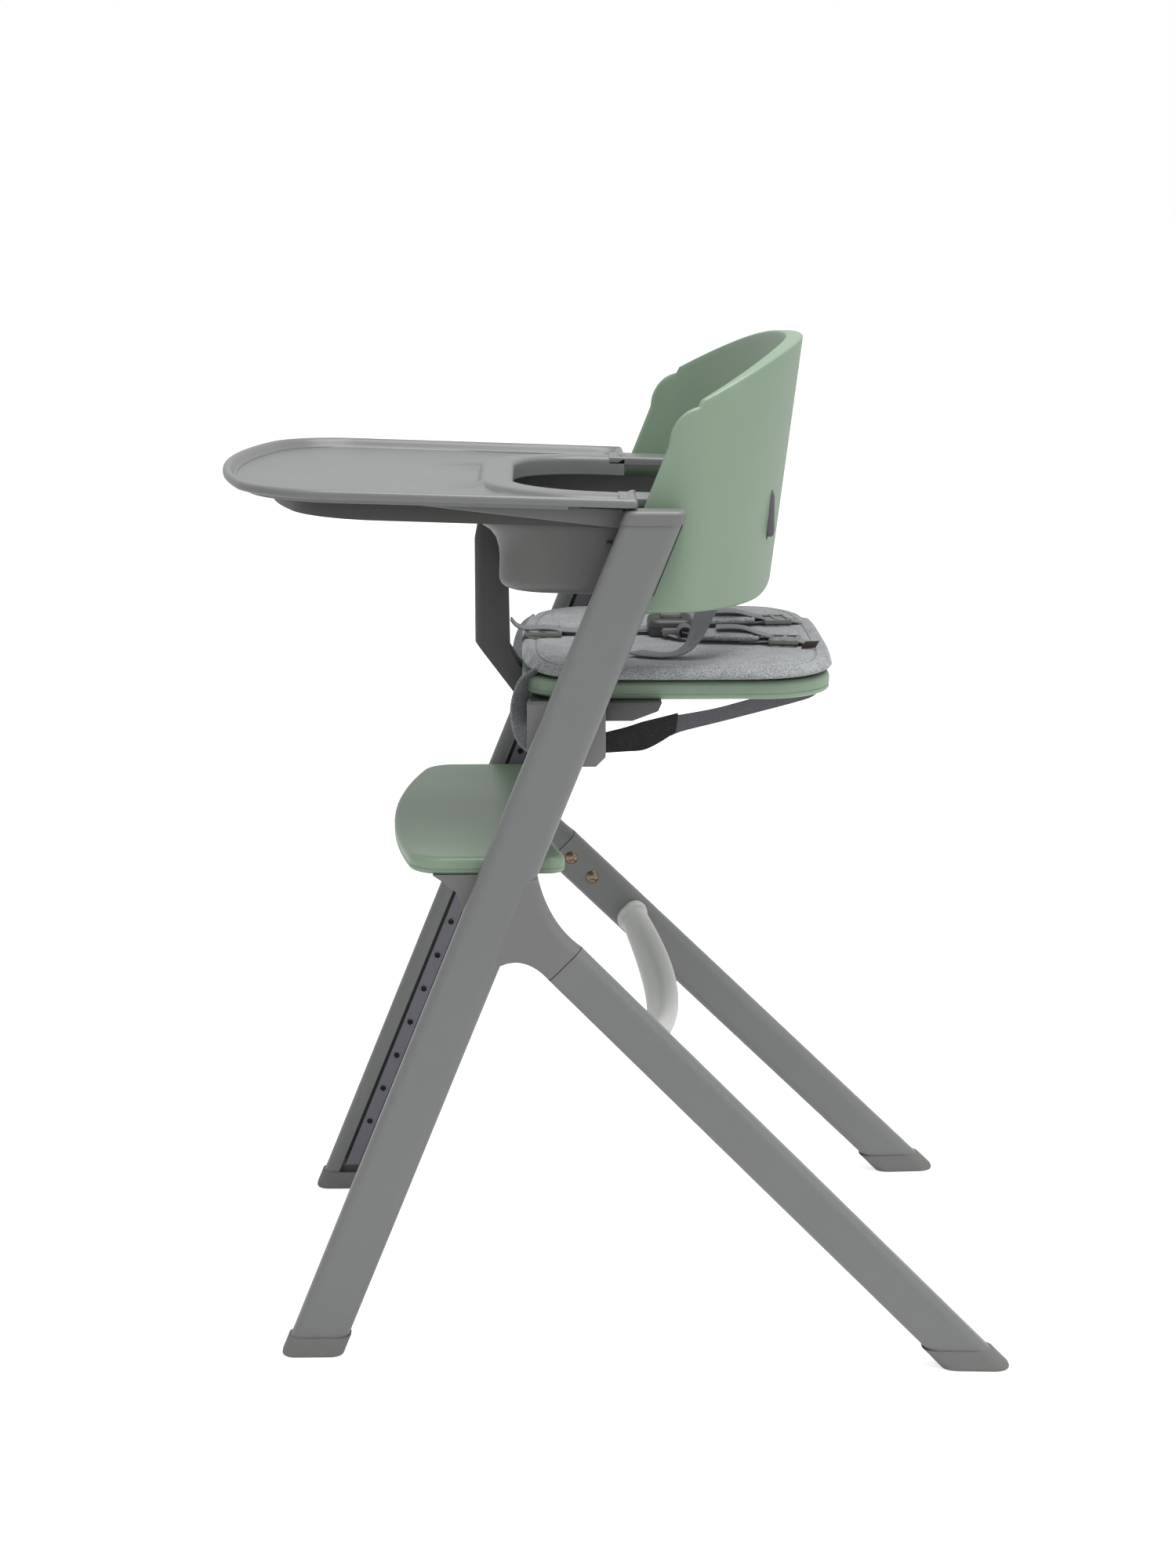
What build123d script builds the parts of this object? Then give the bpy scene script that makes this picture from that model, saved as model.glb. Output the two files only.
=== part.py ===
from build123d import *
import os
from math import cos, hypot, radians, sin, sqrt, tan

# Baby high chair: two leaning front legs with hole rails, splayed rear legs, a
# seat and a footrest that slide along the rails, a backrest shell, a guard ring
# and a tray. Millimetres, +Z up. The child faces -Y, and +X is the child's left.
# The origin is on the floor, midway between tray tip and rear feet.

# --- front legs and rails ---
lean = 22.0              # front leg's lean towards the back, degrees
leg_x = 208.0            # middle of a front leg from the mid-plane
foot_y = -253.0          # front leg's axis at the floor
leg_width = 45.0
leg_thick = 24.5
leg_corner = 9.0
tube_wall = 2.0
leg_top = 700.0          # top of the tube
leg_inner = leg_x - leg_thick / 2
cap_height = 11.5
cap_proud = 0.8
cap_round = 4.0
plug_depth = 12.0
channel_width = 18.6
channel_depth = 9.0
rail_width = 12.0
rail_recess = 1.5        # rail face below the leg's inner face
rail_head = 4.0
rail_stem_width = 7.0
rail_bottom = 24.0
rail_top = 622.0
hole_radius = 2.75
hole_pitch = 35.9
first_hole = 73.8        # along the leg from the floor
hole_count = 17

# --- feet ---
foot_height = 17.0
foot_floor = 4.0         # rubber under the tube
foot_proud = 1.8
foot_round = 2.5

# --- rear legs and the joint that carries them ---
rear_width = 38.0
rear_thick = 24.0
rear_corner = 9.0
rear_foot_x = leg_x + 39.6
rear_foot_y = 303.0
seam_x = leg_x + 5.0      # where a rear leg meets its connector
seam_y = -39.5
seam_z = 339.4
connector_low = 337.0    # along the front leg's back edge
connector_high = 413.0
stub_length = 34.0
spigot_length = 58.0
cover_inset = 6.0
cover_thick = 2.0
fit_gap = 0.2            # between fixed pieces that fit in each other
slide_gap = 0.4          # between pieces that slide

# --- screws ---
screw_head = 6.3
screw_head_height = 3.4
screw_shank = 3.0
screw_shank_length = 14.0
socket_radius = 2.3
small_head = 4.5
small_shank = 2.0
leg_screw_places = (13.5, 41.5)   # from the seam along the rear leg

# --- handle bar between the rear legs ---
handle_place = 96.0      # from the seam along the rear leg
handle_sag = 28.0
handle_broad = 14.5
handle_deep = 9.5
collar_length = 9.0
collar_proud = 2.5

# --- backrest shell ---
shell_half = leg_inner - 2.75
shell_mid_y = 50.0       # straight wings end here, the round back starts
shell_bottom = 626.0
shell_top = 838.0
shell_depth = 89.0       # of the round back at the bottom
shell_flare = 0.127      # growth of that depth per millimetre of height
wing_wall = 5.0
back_wall = 15.0
wing_corner_z = 778.0
slot_x = 105.0
slot_low = 674.0
slot_high = 716.0
slot_width = 6.0

# --- guard ring ---
guard_half = leg_inner - 16.75
guard_front = -90.0
guard_rear = 58.0
guard_low = 637.0
guard_high = 698.0
guard_wall = 4.0
guard_curl = 15.0
guard_corner = 62.0
guard_lip = 20.0

# --- tray, measured before it is tilted ---
tray_tilt = 1.9
tray_rear = 19.0
tray_front = -328.4
tray_half = leg_x + 12.0
tray_turn = 56.0         # the round corners start this far in from each side
tray_sag = 24.0          # fall of the bowed front edge at the corners
tray_bow = 16.5          # its slope there, degrees
tray_side = 99.0         # the round corners end this far behind the tip
tray_taper = 2.0         # the arms are this much nearer at the rear
tray_edge_top = 720.5
tray_edge_low = 713.0
tray_floor = 712.0
tray_floor_wall = 2.5
tray_rim = 9.0
tray_lip_top = 718.5
opening_half = 141.0
opening_front = -81.0
opening_corner = 75.0
lip_width = 30.0
skirt_low = 701.0
heel_length = 28.0
heel_height = 3.0
tongue_half = leg_inner - 13.75
tongue_rear = 58.0
base_half = leg_inner - 9.75
base_front = -287.0
base_low = 693.5
base_wall = 3.0
base_rear = 8.0
lever_half = 28.0
lever_pivot = (-262.0, 701.5)
lever_thick = 3.5
lever_pin = 2.0
lever_play = 1.0
lever_swing = 8.0        # degrees

# --- seat ---
seat_half = leg_inner - 23.75
seat_front = -74.0
seat_rear = 183.0
seat_low = 551.0
seat_thick = 15.0
seat_corner = 60.0
seat_hole = 14           # which rail hole the seat locks in
cushion_proud = 9.0
cushion_thick = 12.0
carrier_half = leg_inner - 19.75   # inner face of the carriers

# --- footrest ---
footrest_half = leg_inner - 2.75
footrest_top = 424.0
footrest_thick = 14.5
footrest_front = -187.0
footrest_sag = 24.0
footrest_rear = -36.0
footrest_hollow = 22.0
footrest_corner = 14.0
footrest_hole = 9
bracket_half = leg_inner - 14.75

# --- lock pins ---
pin_radius = hole_radius - 0.35
knob_radius = 8.0
knob_length = 8.0
pin_clear = 0.35         # tip of a withdrawn pin to the rail

# --- crotch post ---
post_width = 44.0
post_front = -115.0
post_depth = 22.0
post_low = 575.0
post_top = 684.0

# --- harness and soft parts ---
web_thick = 1.6
web_width = 22.0
soft_gap = 0.4
adjuster_x = 56.0
adjuster_y = 150.0
buckle_y = 55.0
strap_x = 125.0          # cushion's fastening straps

unit_lean = (0, sin(radians(lean)), cos(radians(lean)))
leg_plane = Plane(origin=(leg_x, foot_y, 0), x_dir=(1, 0, 0), z_dir=unit_lean)
seat_top = seat_low + seat_thick
cushion_low = seat_top + soft_gap
cushion_top = cushion_low + cushion_thick
half_leg_level = leg_width / 2 / cos(radians(lean))

rear_rise = (seam_x - rear_foot_x, seam_y - rear_foot_y, seam_z)
rear_length = hypot(*rear_rise)
rear_z = Vector(*rear_rise).normalized()
rear_x = (Vector(1, 0, 0) - rear_z * rear_z.X).normalized()
rear_plane = Plane(origin=(rear_foot_x, rear_foot_y, 0), x_dir=rear_x, z_dir=rear_z)

parts = {}


def leg_y(z):
    """The front leg's axis at a height."""
    return foot_y + z * tan(radians(lean))


def slab(low, high):
    return Pos(0, 0, (low + high) / 2) * Box(2000, 2000, high - low)


def block(low, high):
    """A box from its lowest to its highest corner."""
    size = [b - a for a, b in zip(low, high)]
    middle = [(a + b) / 2 for a, b in zip(low, high)]
    return Pos(*middle) * Box(*size)


def side_profile(points, x_low, x_high):
    """A plate whose outline is drawn in the YZ plane."""
    face = make_face(Plane.YZ * Polyline(*points, close=True))
    return extrude(Pos(x_low, 0, 0) * face, amount=x_high - x_low, dir=(1, 0, 0))


def both(name, solid):
    """Store a left piece and its mirror image as two nodes."""
    parts[name + "_left"] = solid
    parts[name + "_right"] = mirror(solid, about=Plane.YZ)


def pair(solid):
    """A left piece and its mirror image as two solids of one node."""
    return Compound([*solid.solids(), *mirror(solid, about=Plane.YZ).solids()])


def button_screw(head, head_height, shank, length, socket):
    """A domed screw with its head above Z = 0 and its shank below."""
    ball = (head * head + head_height * head_height) / (2 * head_height)
    dome = Pos(0, 0, head_height - ball) * Sphere(ball) & slab(0, head_height)
    tool = RegularPolygon(socket, 6)
    recess = extrude(Pos(0, 0, head_height * 0.35) * tool, amount=head_height)
    return dome - recess + Pos(0, 0, -length / 2) * Cylinder(shank, length)


def along_leg(sketch, low, high):
    """A sketch across the left front leg, extruded along it between two heights."""
    start = (low - 60) / cos(radians(lean))
    end = (high + 60) / cos(radians(lean))
    solid = extrude(leg_plane.offset(start) * sketch, amount=end - start)
    return solid & slab(low, high)


def across_leg(y, x_low, x_high):
    """A rectangle in the leg's section: y width around a middle, x across."""
    middle, width = y
    return Pos((x_low + x_high) / 2, middle) * Rectangle(x_high - x_low, width)


def leg_section(proud=0.0):
    return RectangleRounded(leg_thick + 2 * proud, leg_width + 2 * proud, leg_corner + proud)


def front_legs():
    inner = -leg_thick / 2
    cavity = RectangleRounded(leg_thick - 2 * tube_wall, leg_width - 2 * tube_wall,
                              leg_corner - tube_wall)
    bed = across_leg((0, channel_width + 2 * tube_wall), inner,
                     inner + channel_depth + tube_wall)
    channel = across_leg((0, channel_width), inner - 1, inner + channel_depth)
    section = leg_section() - cavity + (bed & leg_section()) - channel
    both("front_leg", along_leg(section, foot_floor, leg_top) - shell_holes())

    head = across_leg((0, rail_width), inner + rail_recess, inner + rail_recess + rail_head)
    stem = across_leg((0, rail_stem_width), inner + rail_recess + rail_head,
                      inner + channel_depth)
    rail = along_leg(head + stem, rail_bottom, rail_top)
    for hole in range(hole_count):
        rail -= hole_tool(hole, hole_radius)
    both("rail", rail)

    cap = along_leg(leg_section(cap_proud), leg_top, leg_top + cap_height)
    cap = fillet(cap.edges().group_by(Axis.Z)[-1], cap_round)
    plug_low = inner + channel_depth + tube_wall + fit_gap
    plug_high = leg_thick / 2 - tube_wall - fit_gap
    plug_width = leg_width - 2 * leg_corner
    cap += along_leg(across_leg((0, plug_width), plug_low, plug_high),
                     leg_top - plug_depth, leg_top)
    both("leg_cap", cap)

    foot = along_leg(leg_section(foot_proud), 0, foot_height)
    foot = fillet(foot.edges().group_by(Axis.Z)[0], foot_round)
    foot -= along_leg(leg_section(), foot_floor, foot_height + 1)
    both("front_foot", foot)


def hole_tool(number, radius, x_low=-30.0, x_high=30.0):
    """A cylinder along X through one rail hole of the left leg."""
    rise = first_hole + number * hole_pitch
    centre = leg_plane.from_local_coords(Vector((x_low + x_high) / 2, 0, rise))
    return Pos(*centre) * Rot(0, 90, 0) * Cylinder(radius, x_high - x_low)


def rear_section(less=0.0):
    return RectangleRounded(rear_thick - 2 * less, rear_width - 2 * less, rear_corner - less)


def rear_prism(sketch, low, high):
    """A sketch across the left rear leg, between two distances from the floor."""
    return extrude(rear_plane.offset(low) * sketch, amount=high - low)


def rear_screw_planes():
    face = -rear_thick / 2
    for place in leg_screw_places:
        origin = rear_plane.from_local_coords(Vector(face, 0, rear_length - place))
        yield Plane(origin=origin, z_dir=-rear_x)


def rear_legs():
    over = rear_width * 2
    tube = rear_prism(rear_section() - rear_section(tube_wall), -over, rear_length)
    tube &= slab(foot_floor, leg_top)
    connector = connector_solid()
    screws = []
    for plane in rear_screw_planes():
        shaft = plane * Cylinder(screw_shank, 2 * screw_shank_length)
        tube -= plane * Cylinder(screw_shank + fit_gap, 4 * tube_wall)
        connector -= shaft
        screws += (plane * button_screw(screw_head, screw_head_height, screw_shank,
                                        screw_shank_length, socket_radius)).solids()
    both("rear_leg", tube)
    parts["leg_screws"] = pair(Compound(screws))

    foot = rear_prism(rear_section(-foot_proud), -over, over) & slab(0, foot_height)
    foot = fillet(foot.edges().group_by(Axis.Z)[0], foot_round)
    foot -= rear_prism(rear_section(), -over, over) & slab(foot_floor, foot_height + 1)
    both("rear_foot", foot)

    pocket_face = offset(connector_face(), amount=-cover_inset)
    cover_face = offset(connector_face(), amount=-cover_inset - fit_gap)
    pocket = extrude(Pos(leg_inner - 1, 0, 0) * pocket_face,
                     amount=cover_thick + fit_gap + 1, dir=(1, 0, 0))
    both("connector", connector - pocket)
    both("connector_cover", extrude(Pos(leg_inner + fit_gap, 0, 0) * cover_face,
                                    amount=cover_thick, dir=(1, 0, 0)))


def connector_face():
    """The joint's outline in the YZ plane: two flares from leg to leg."""
    back = half_leg_level
    low = (leg_y(connector_low) + back, connector_low)
    high = (leg_y(connector_high) + back, connector_high)
    across = rear_width / 2 / hypot(rear_rise[1], rear_rise[2])
    side = (rear_rise[2] * across, -rear_rise[1] * across)
    upper = (seam_y + side[0], seam_z + side[1])
    lower = (seam_y - side[0], seam_z - side[1])
    over = ((high[0] + upper[0]) / 2 - 5, (high[1] + upper[1]) / 2 - 5)
    under = ((low[0] + lower[0]) / 2 + 1, (low[1] + lower[1]) / 2 + 8)
    outline = Curve() + [Line(low, high), ThreePointArc(high, over, upper),
                         Line(upper, lower), ThreePointArc(lower, under, low)]
    return make_face(Plane.YZ * outline)


def connector_solid():
    body = extrude(Pos(leg_inner, 0, 0) * connector_face(), amount=leg_thick, dir=(1, 0, 0))
    stub = rear_prism(rear_section(), rear_length, rear_length + stub_length)
    spigot = rear_prism(rear_section(tube_wall + fit_gap),
                        rear_length - spigot_length, rear_length + stub_length)
    return body - rear_prism(rear_section(-1), 0, rear_length) + stub + spigot


def handle():
    middle = rear_length - handle_place
    face = -rear_thick / 2
    end = rear_plane.from_local_coords(Vector(face, 0, middle))
    start = end + Vector(-collar_length * 0.6, 0, 0)
    drop = Vector(0, -rear_z.Y, -rear_z.Z).normalized() * handle_sag
    path = ThreePointArc((-start.X, start.Y, start.Z), (0, start.Y + drop.Y, start.Z + drop.Z),
                         (start.X, start.Y, start.Z))
    broad = Vector(0, -drop.Z, drop.Y).normalized()
    across = Plane(origin=path @ 0, x_dir=broad, z_dir=path % 0)
    bar = sweep(across * Ellipse(handle_broad, handle_deep), path=path)
    parts["handle_bar"] = bar
    seat = Plane(origin=end, x_dir=rear_plane.y_dir, z_dir=-rear_x)
    collar = extrude(seat * Ellipse(handle_broad + collar_proud, handle_deep + collar_proud),
                     amount=collar_length)
    parts["handle_collars"] = pair(collar - bar)


def shell_face(half, depth, z):
    """The backrest's outline from above: straight wings and a half ellipse."""
    front = leg_y(shell_bottom) - leg_width
    rim = Curve() + [Line((half, front), (half, shell_mid_y)),
                     EllipticalCenterArc((0, shell_mid_y), half, depth, arc_size=180),
                     Line((-half, shell_mid_y), (-half, front)),
                     Line((-half, front), (half, front))]
    return Pos(0, 0, z) * make_face(rim)


def shell_solid(half, depth):
    """A loft from below the shell's bottom to above its top."""
    low, high = shell_bottom - 10, shell_top + 10
    return loft([shell_face(half, depth + (z - shell_bottom) * shell_flare, z)
                 for z in (low, high)])


def shell_front(z):
    """Front edge of the wings, parallel with the legs."""
    return leg_y(z) - 10.0


def shell_screw_places():
    for z in (shell_bottom + 22, shell_bottom + 64):
        yield leg_y(z) + 6, z


def shell_holes():
    """The screw holes that pass from the wings into the left leg's inner face."""
    tools = [Pos(leg_inner, y, z) * Rot(0, 90, 0) * Cylinder(small_shank + fit_gap / 2, 24)
             for y, z in shell_screw_places()]
    return Compound(tools)


def backrest():
    wall = shell_solid(shell_half, shell_depth) - shell_solid(
        shell_half - wing_wall, shell_depth - back_wall)
    corner = shell_front(wing_corner_z)
    back = shell_mid_y + shell_depth
    rim = [(corner - 7, wing_corner_z - 17), (corner - 2, wing_corner_z),
           (corner + 18, wing_corner_z + 13)]
    rise = (shell_top - rim[2][1]) / 94
    side = Curve() + [Line((shell_front(shell_bottom), shell_bottom), rim[0]),
                      ThreePointArc(*rim),
                      Line(rim[2], (rim[2][0] + 94, shell_top)),
                      Line((rim[2][0] + 94, shell_top), (back + 80, shell_top + rise)),
                      Line((back + 80, shell_top + rise), (back + 80, shell_bottom + 20)),
                      Line((back + 80, shell_bottom + 20), (back + 2, shell_bottom + 20)),
                      ThreePointArc((back + 2, shell_bottom + 20), (back - 5, shell_bottom + 5),
                                    (back - 20, shell_bottom)),
                      Line((back - 20, shell_bottom), (shell_front(shell_bottom), shell_bottom))]
    side = extrude(make_face(Plane.YZ * side), amount=shell_half + 5, both=True)
    shell = wall & side
    holes = shell_holes()
    shell -= holes
    shell -= mirror(holes, about=Plane.YZ)
    slot = block((slot_x - slot_width / 2, shell_mid_y + 20, slot_low),
                 (slot_x + slot_width / 2, back + 60, slot_high))
    parts["backrest_shell"] = shell - slot - mirror(slot, about=Plane.YZ)

    low, high = shell_bottom + 14, shell_bottom + 72
    back_edge = half_leg_level + 2.5
    bracket = side_profile([(leg_y(low) - 6, low), (leg_y(low) + back_edge, low),
                            (leg_y(high) + back_edge, high), (leg_y(high) - 6, high)],
                           shell_half, leg_inner)
    parts["shell_brackets"] = pair(bracket - holes)
    inner_wall = shell_half - wing_wall
    screw = button_screw(small_head, 2.6, small_shank, 14, 1.4)
    screws = [Pos(inner_wall, y, z) * Rot(0, -90, 0) * screw for y, z in shell_screw_places()]
    parts["shell_screws"] = pair(Compound([s.solids()[0] for s in screws]))


def u_face(half, front, rear, corner, z):
    """A plan outline that is round in front and square behind."""
    face = Pos(0, (front + rear) / 2) * Rectangle(2 * half, rear - front)
    return Pos(0, 0, z) * fillet(face.vertices().group_by(Axis.Y)[0], corner)


def u_prism(inset, low, high, rear):
    face = u_face(guard_half - inset, guard_front + inset, rear, guard_corner - inset, low)
    return extrude(face, amount=high - low)


def tilted(solid):
    """Tilt a piece about the tray's rear edge, front up."""
    pivot = Pos(0, tray_rear, tray_edge_top)
    return pivot * Rot(-tray_tilt, 0, 0) * pivot.inverse() * solid


def guard():
    outer = u_prism(0, guard_low, guard_high, guard_rear)
    edges = [e for e in outer.edges().group_by(Axis.Z)[0] if e.center().Y < guard_rear - 1]
    outer = fillet(edges, guard_curl)
    lip = u_face(guard_half, guard_front - guard_lip, guard_rear, guard_corner, guard_high - 9)
    outer += extrude(lip, amount=9)
    hollow = u_prism(guard_wall, guard_low + guard_wall, guard_high + 1, guard_rear + 5)
    edges = [e for e in hollow.edges().group_by(Axis.Z)[0] if e.center().Y < guard_rear]
    hollow = fillet(edges, guard_curl - guard_wall)
    way = u_prism(guard_curl, guard_low - 1, guard_high, guard_rear + 5)
    parts["guard_ring"] = tilted(outer - hollow - way)
    z = guard_low + 32
    front = leg_y(z) - half_leg_level
    bracket = block((guard_half, front + 1.5, z - 14),
                    (leg_inner, shell_front(z - 14) - 1.0, z + 14))
    parts["guard_brackets"] = pair(bracket)


def tray_face(inset, half, front, rear, z, taper=0.0):
    """The tray's outline from above, moved in by an inset."""
    bow = radians(tray_bow)
    start = (half - tray_turn + inset * -sin(bow), front + tray_sag + inset * cos(bow))
    side = (half - inset, front + tray_side)
    nose = ThreePointArc((-start[0], start[1]), (0, front + inset), start)
    corner = TangentArc(start, side, tangent=(cos(bow), sin(bow)))
    edge = Line(side, (half - taper - inset, rear))
    rim = Curve() + [nose, corner, edge, Line(edge @ 1, (taper + inset - half, rear)),
                     mirror(edge, about=Plane.YZ), mirror(corner, about=Plane.YZ)]
    return Pos(0, 0, z) * make_face(rim)


def tray_level(inset, low, high):
    face = tray_face(inset, tray_half, tray_front, tray_rear - inset * 0.5, low, tray_taper)
    return extrude(face, amount=high - low)


def opening_prism(grow, low, high, rear=120.0):
    face = u_face(opening_half + grow, opening_front - grow, rear, opening_corner + grow, low)
    return extrude(face, amount=high - low)


def tray():
    underside = tray_floor - tray_floor_wall
    plate = tray_level(0, tray_edge_low, tray_edge_top)
    plate += tray_level(12, underside, tray_edge_low + 0.5)
    lip = opening_prism(lip_width, underside, tray_edge_top + 1)
    plate -= tray_level(tray_rim, tray_floor, tray_edge_top + 1) - lip
    plate -= lip & slab(tray_lip_top, tray_edge_top + 1) & tray_level(tray_rim, underside, 800)
    tongue = block((opening_half - 5, tray_rear - 10, underside),
                   (tongue_half, tongue_rear, tray_lip_top))
    plate += tongue + mirror(tongue, about=Plane.YZ)
    plate += (opening_prism(base_wall, skirt_low, tray_floor)
              & block((-500, -500, 0), (500, tongue_rear, 1000)))
    plate -= opening_prism(0, skirt_low - 1, tray_edge_top + 5)
    # the floor is raised where the arms pass over the leg caps
    over_cap = block((leg_inner - 2, -heel_length, tray_edge_low - 10),
                     (tray_half, tray_rear, tray_edge_low))
    heel = block((leg_inner - 4, -heel_length - 2, tray_edge_low),
                 (tray_half - tray_rim + 2, tray_rear, tray_edge_low + heel_height))
    plate -= over_cap + mirror(over_cap, about=Plane.YZ)
    parts["tray_top"] = tilted(plate + heel + mirror(heel, about=Plane.YZ))

    high = underside - fit_gap / 2
    outer = extrude(tray_face(0, base_half, base_front, base_rear, base_low),
                    amount=high - base_low)
    inner = extrude(tray_face(base_wall, base_half, base_front, base_rear + 20, base_low - 1),
                    amount=high - base_wall - base_low + 1)
    pivot_y, pivot_z = lever_pivot
    lever_front = base_front - 5
    lever_low = base_low + lever_play
    lift = tan(radians(lever_swing)) * (pivot_y - lever_front)
    notch = lever_half + slide_gap
    notch_top = lever_low + lever_thick + lift + lever_play
    base = outer - inner - opening_prism(base_wall + 1, base_low - 1, high + 1)
    base -= block((-notch, lever_front, base_low - 1), (notch, base_front + 12, notch_top))
    ear = block((lever_half + slide_gap, pivot_y - 5, pivot_z - 5),
                (lever_half + 4, pivot_y + 5, high - base_wall))
    base += ear + mirror(ear, about=Plane.YZ)
    pin_hole = Pos(0, pivot_y, pivot_z) * Rot(0, 90, 0) * Cylinder(lever_pin + 0.05, 90)
    parts["tray_base"] = tilted(base - pin_hole)

    pin = Pos(0, pivot_y, pivot_z) * Rot(0, 90, 0) * Cylinder(lever_pin, 2 * lever_half + 8)
    parts["lever_pin"] = tilted(pin)
    lever = block((-lever_half, lever_front, lever_low),
                  (lever_half, pivot_y + 8, lever_low + lever_thick))
    hub = Pos(0, pivot_y, pivot_z) * Rot(0, 90, 0) * Cylinder(4.0, 2 * lever_half)
    web = block((-lever_half, pivot_y - 3, lever_low), (lever_half, pivot_y + 3, pivot_z))
    lever = lever + hub + web - pin_hole
    parts["tray_lever"] = tilted(lever)

    front = base_front + 130
    wedge = side_profile([(base_rear, base_low), (base_rear, high), (front, high),
                          (front, high - 2)], base_half, base_half + 4.5)
    parts["tray_side_rails"] = tilted(pair(wedge))


def rail_tongues(low, high):
    """Two keys that run in the slots beside the left rail."""
    inner = -leg_thick / 2
    slot = (channel_width - rail_width) / 2
    middle = (channel_width + rail_width) / 4
    keys = [across_leg((side * middle, slot - 2 * slide_gap), inner - 2, inner + 5)
            for side in (-1, 1)]
    return along_leg(keys[0], low, high) + along_leg(keys[1], low, high)


def lock_pin(name, number, inner_face):
    """A pin and knob, drawn back from the rail hole that it locks in."""
    centre = leg_plane.from_local_coords(Vector(0, 0, first_hole + number * hole_pitch))
    tip = leg_inner + rail_recess - pin_clear
    start = inner_face - soft_gap - knob_length - 5
    shaft = Pos((start + tip) / 2, centre.Y, centre.Z) * Rot(0, 90, 0) * Cylinder(
        pin_radius, tip - start)
    knob = Pos(start + knob_length / 2, centre.Y, centre.Z) * Rot(0, 90, 0) * Cylinder(
        knob_radius, knob_length)
    both(name, shaft + knob)
    return Pos((start + tip) / 2, centre.Y, centre.Z) * Rot(0, 90, 0) * Cylinder(
        pin_radius + slide_gap, tip - start + 10)


def seat():
    middle = (seat_front + seat_rear) / 2
    length = seat_rear - seat_front
    plate = extrude(Pos(0, middle, seat_low) * RectangleRounded(2 * seat_half, length, seat_corner),
                    amount=seat_thick)
    ends = plate.edges().filter_by(GeomType.PLANE, reverse=True)
    rims = [e for e in ends if abs(e.bounding_box().size.Z) < 0.01]
    parts["seat_plate"] = fillet(rims, 4.0)

    soft = RectangleRounded(2 * (seat_half + cushion_proud), length + 6, seat_corner + 4)
    cushion = extrude(Pos(0, middle + 2, cushion_low) * soft, amount=cushion_thick)
    rims = [e for e in cushion.edges() if abs(e.bounding_box().size.Z) < 0.01]
    parts["seat_cushion"] = fillet(rims, 4.5)

    outer = leg_inner - slide_gap - 0.15
    low = seat_low - 51
    carrier = side_profile([(-70, seat_low), (-6, seat_low), (-6, low + 8), (-14, low),
                            (-70, low)], carrier_half, outer)
    carrier += rail_tongues(low + 4, seat_low - 4) & block((carrier_half, -300, 0), (300, 300, 900))
    carrier -= lock_pin("seat_lock", seat_hole, carrier_half)
    both("seat_carrier", carrier)

    arm = side_profile([(-6, seat_low), (40, seat_low), (37, seat_low - 7), (16, seat_low - 15),
                        (-6, seat_low - 15)], carrier_half - 26, carrier_half + 9)
    screws = []
    for y in (2, 24):
        spot = Pos(carrier_half - 12, y, 0)
        hole = spot * Pos(0, 0, seat_low) * Cylinder(small_shank, 40)
        arm -= hole
        parts["seat_plate"] -= hole & slab(0, seat_low + 8)
        parts["seat_plate"] -= mirror(hole & slab(0, seat_low + 8), about=Plane.YZ)
        face = seat_low - 15 + (5.5 if y > 16 else 0)
        arm -= spot * Pos(0, 0, face - 20) * Cylinder(small_head + fit_gap, 40)
        screws.append(spot * Pos(0, 0, face) * Rot(180, 0, 0) * button_screw(
            small_head, 2.6, small_shank, seat_low + 7 - face, 1.4))
    parts["seat_arms"] = pair(arm)
    parts["seat_screws"] = pair(Compound([s.solids()[0] for s in screws]))

    tube = Pos(0, -58, seat_low - 16) * Box(2 * carrier_half, 18, 26)
    tube -= Pos(0, -58, seat_low - 16) * Box(3 * carrier_half, 14, 22)
    parts["seat_cross_tube"] = tube

    rear = post_front + post_depth
    post = side_profile([(post_front + 4, post_top), (post_front, post_top - 20),
                         (post_front, post_low), (-79, seat_low - 24), (-67, seat_low - 27),
                         (-67, seat_low - 4), (seat_front + 2, seat_low - 1.5),
                         (seat_front - 3, seat_low + 3), (rear + 8, post_low - 8),
                         (rear + 7, guard_low - 12), (rear, guard_low - 4), (rear, post_top)],
                        -post_width / 2, post_width / 2)
    edges = post.edges().filter_by(Axis.Z)
    parts["crotch_post"] = fillet(edges.group_by(Axis.Y)[0], 7.0)


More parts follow.
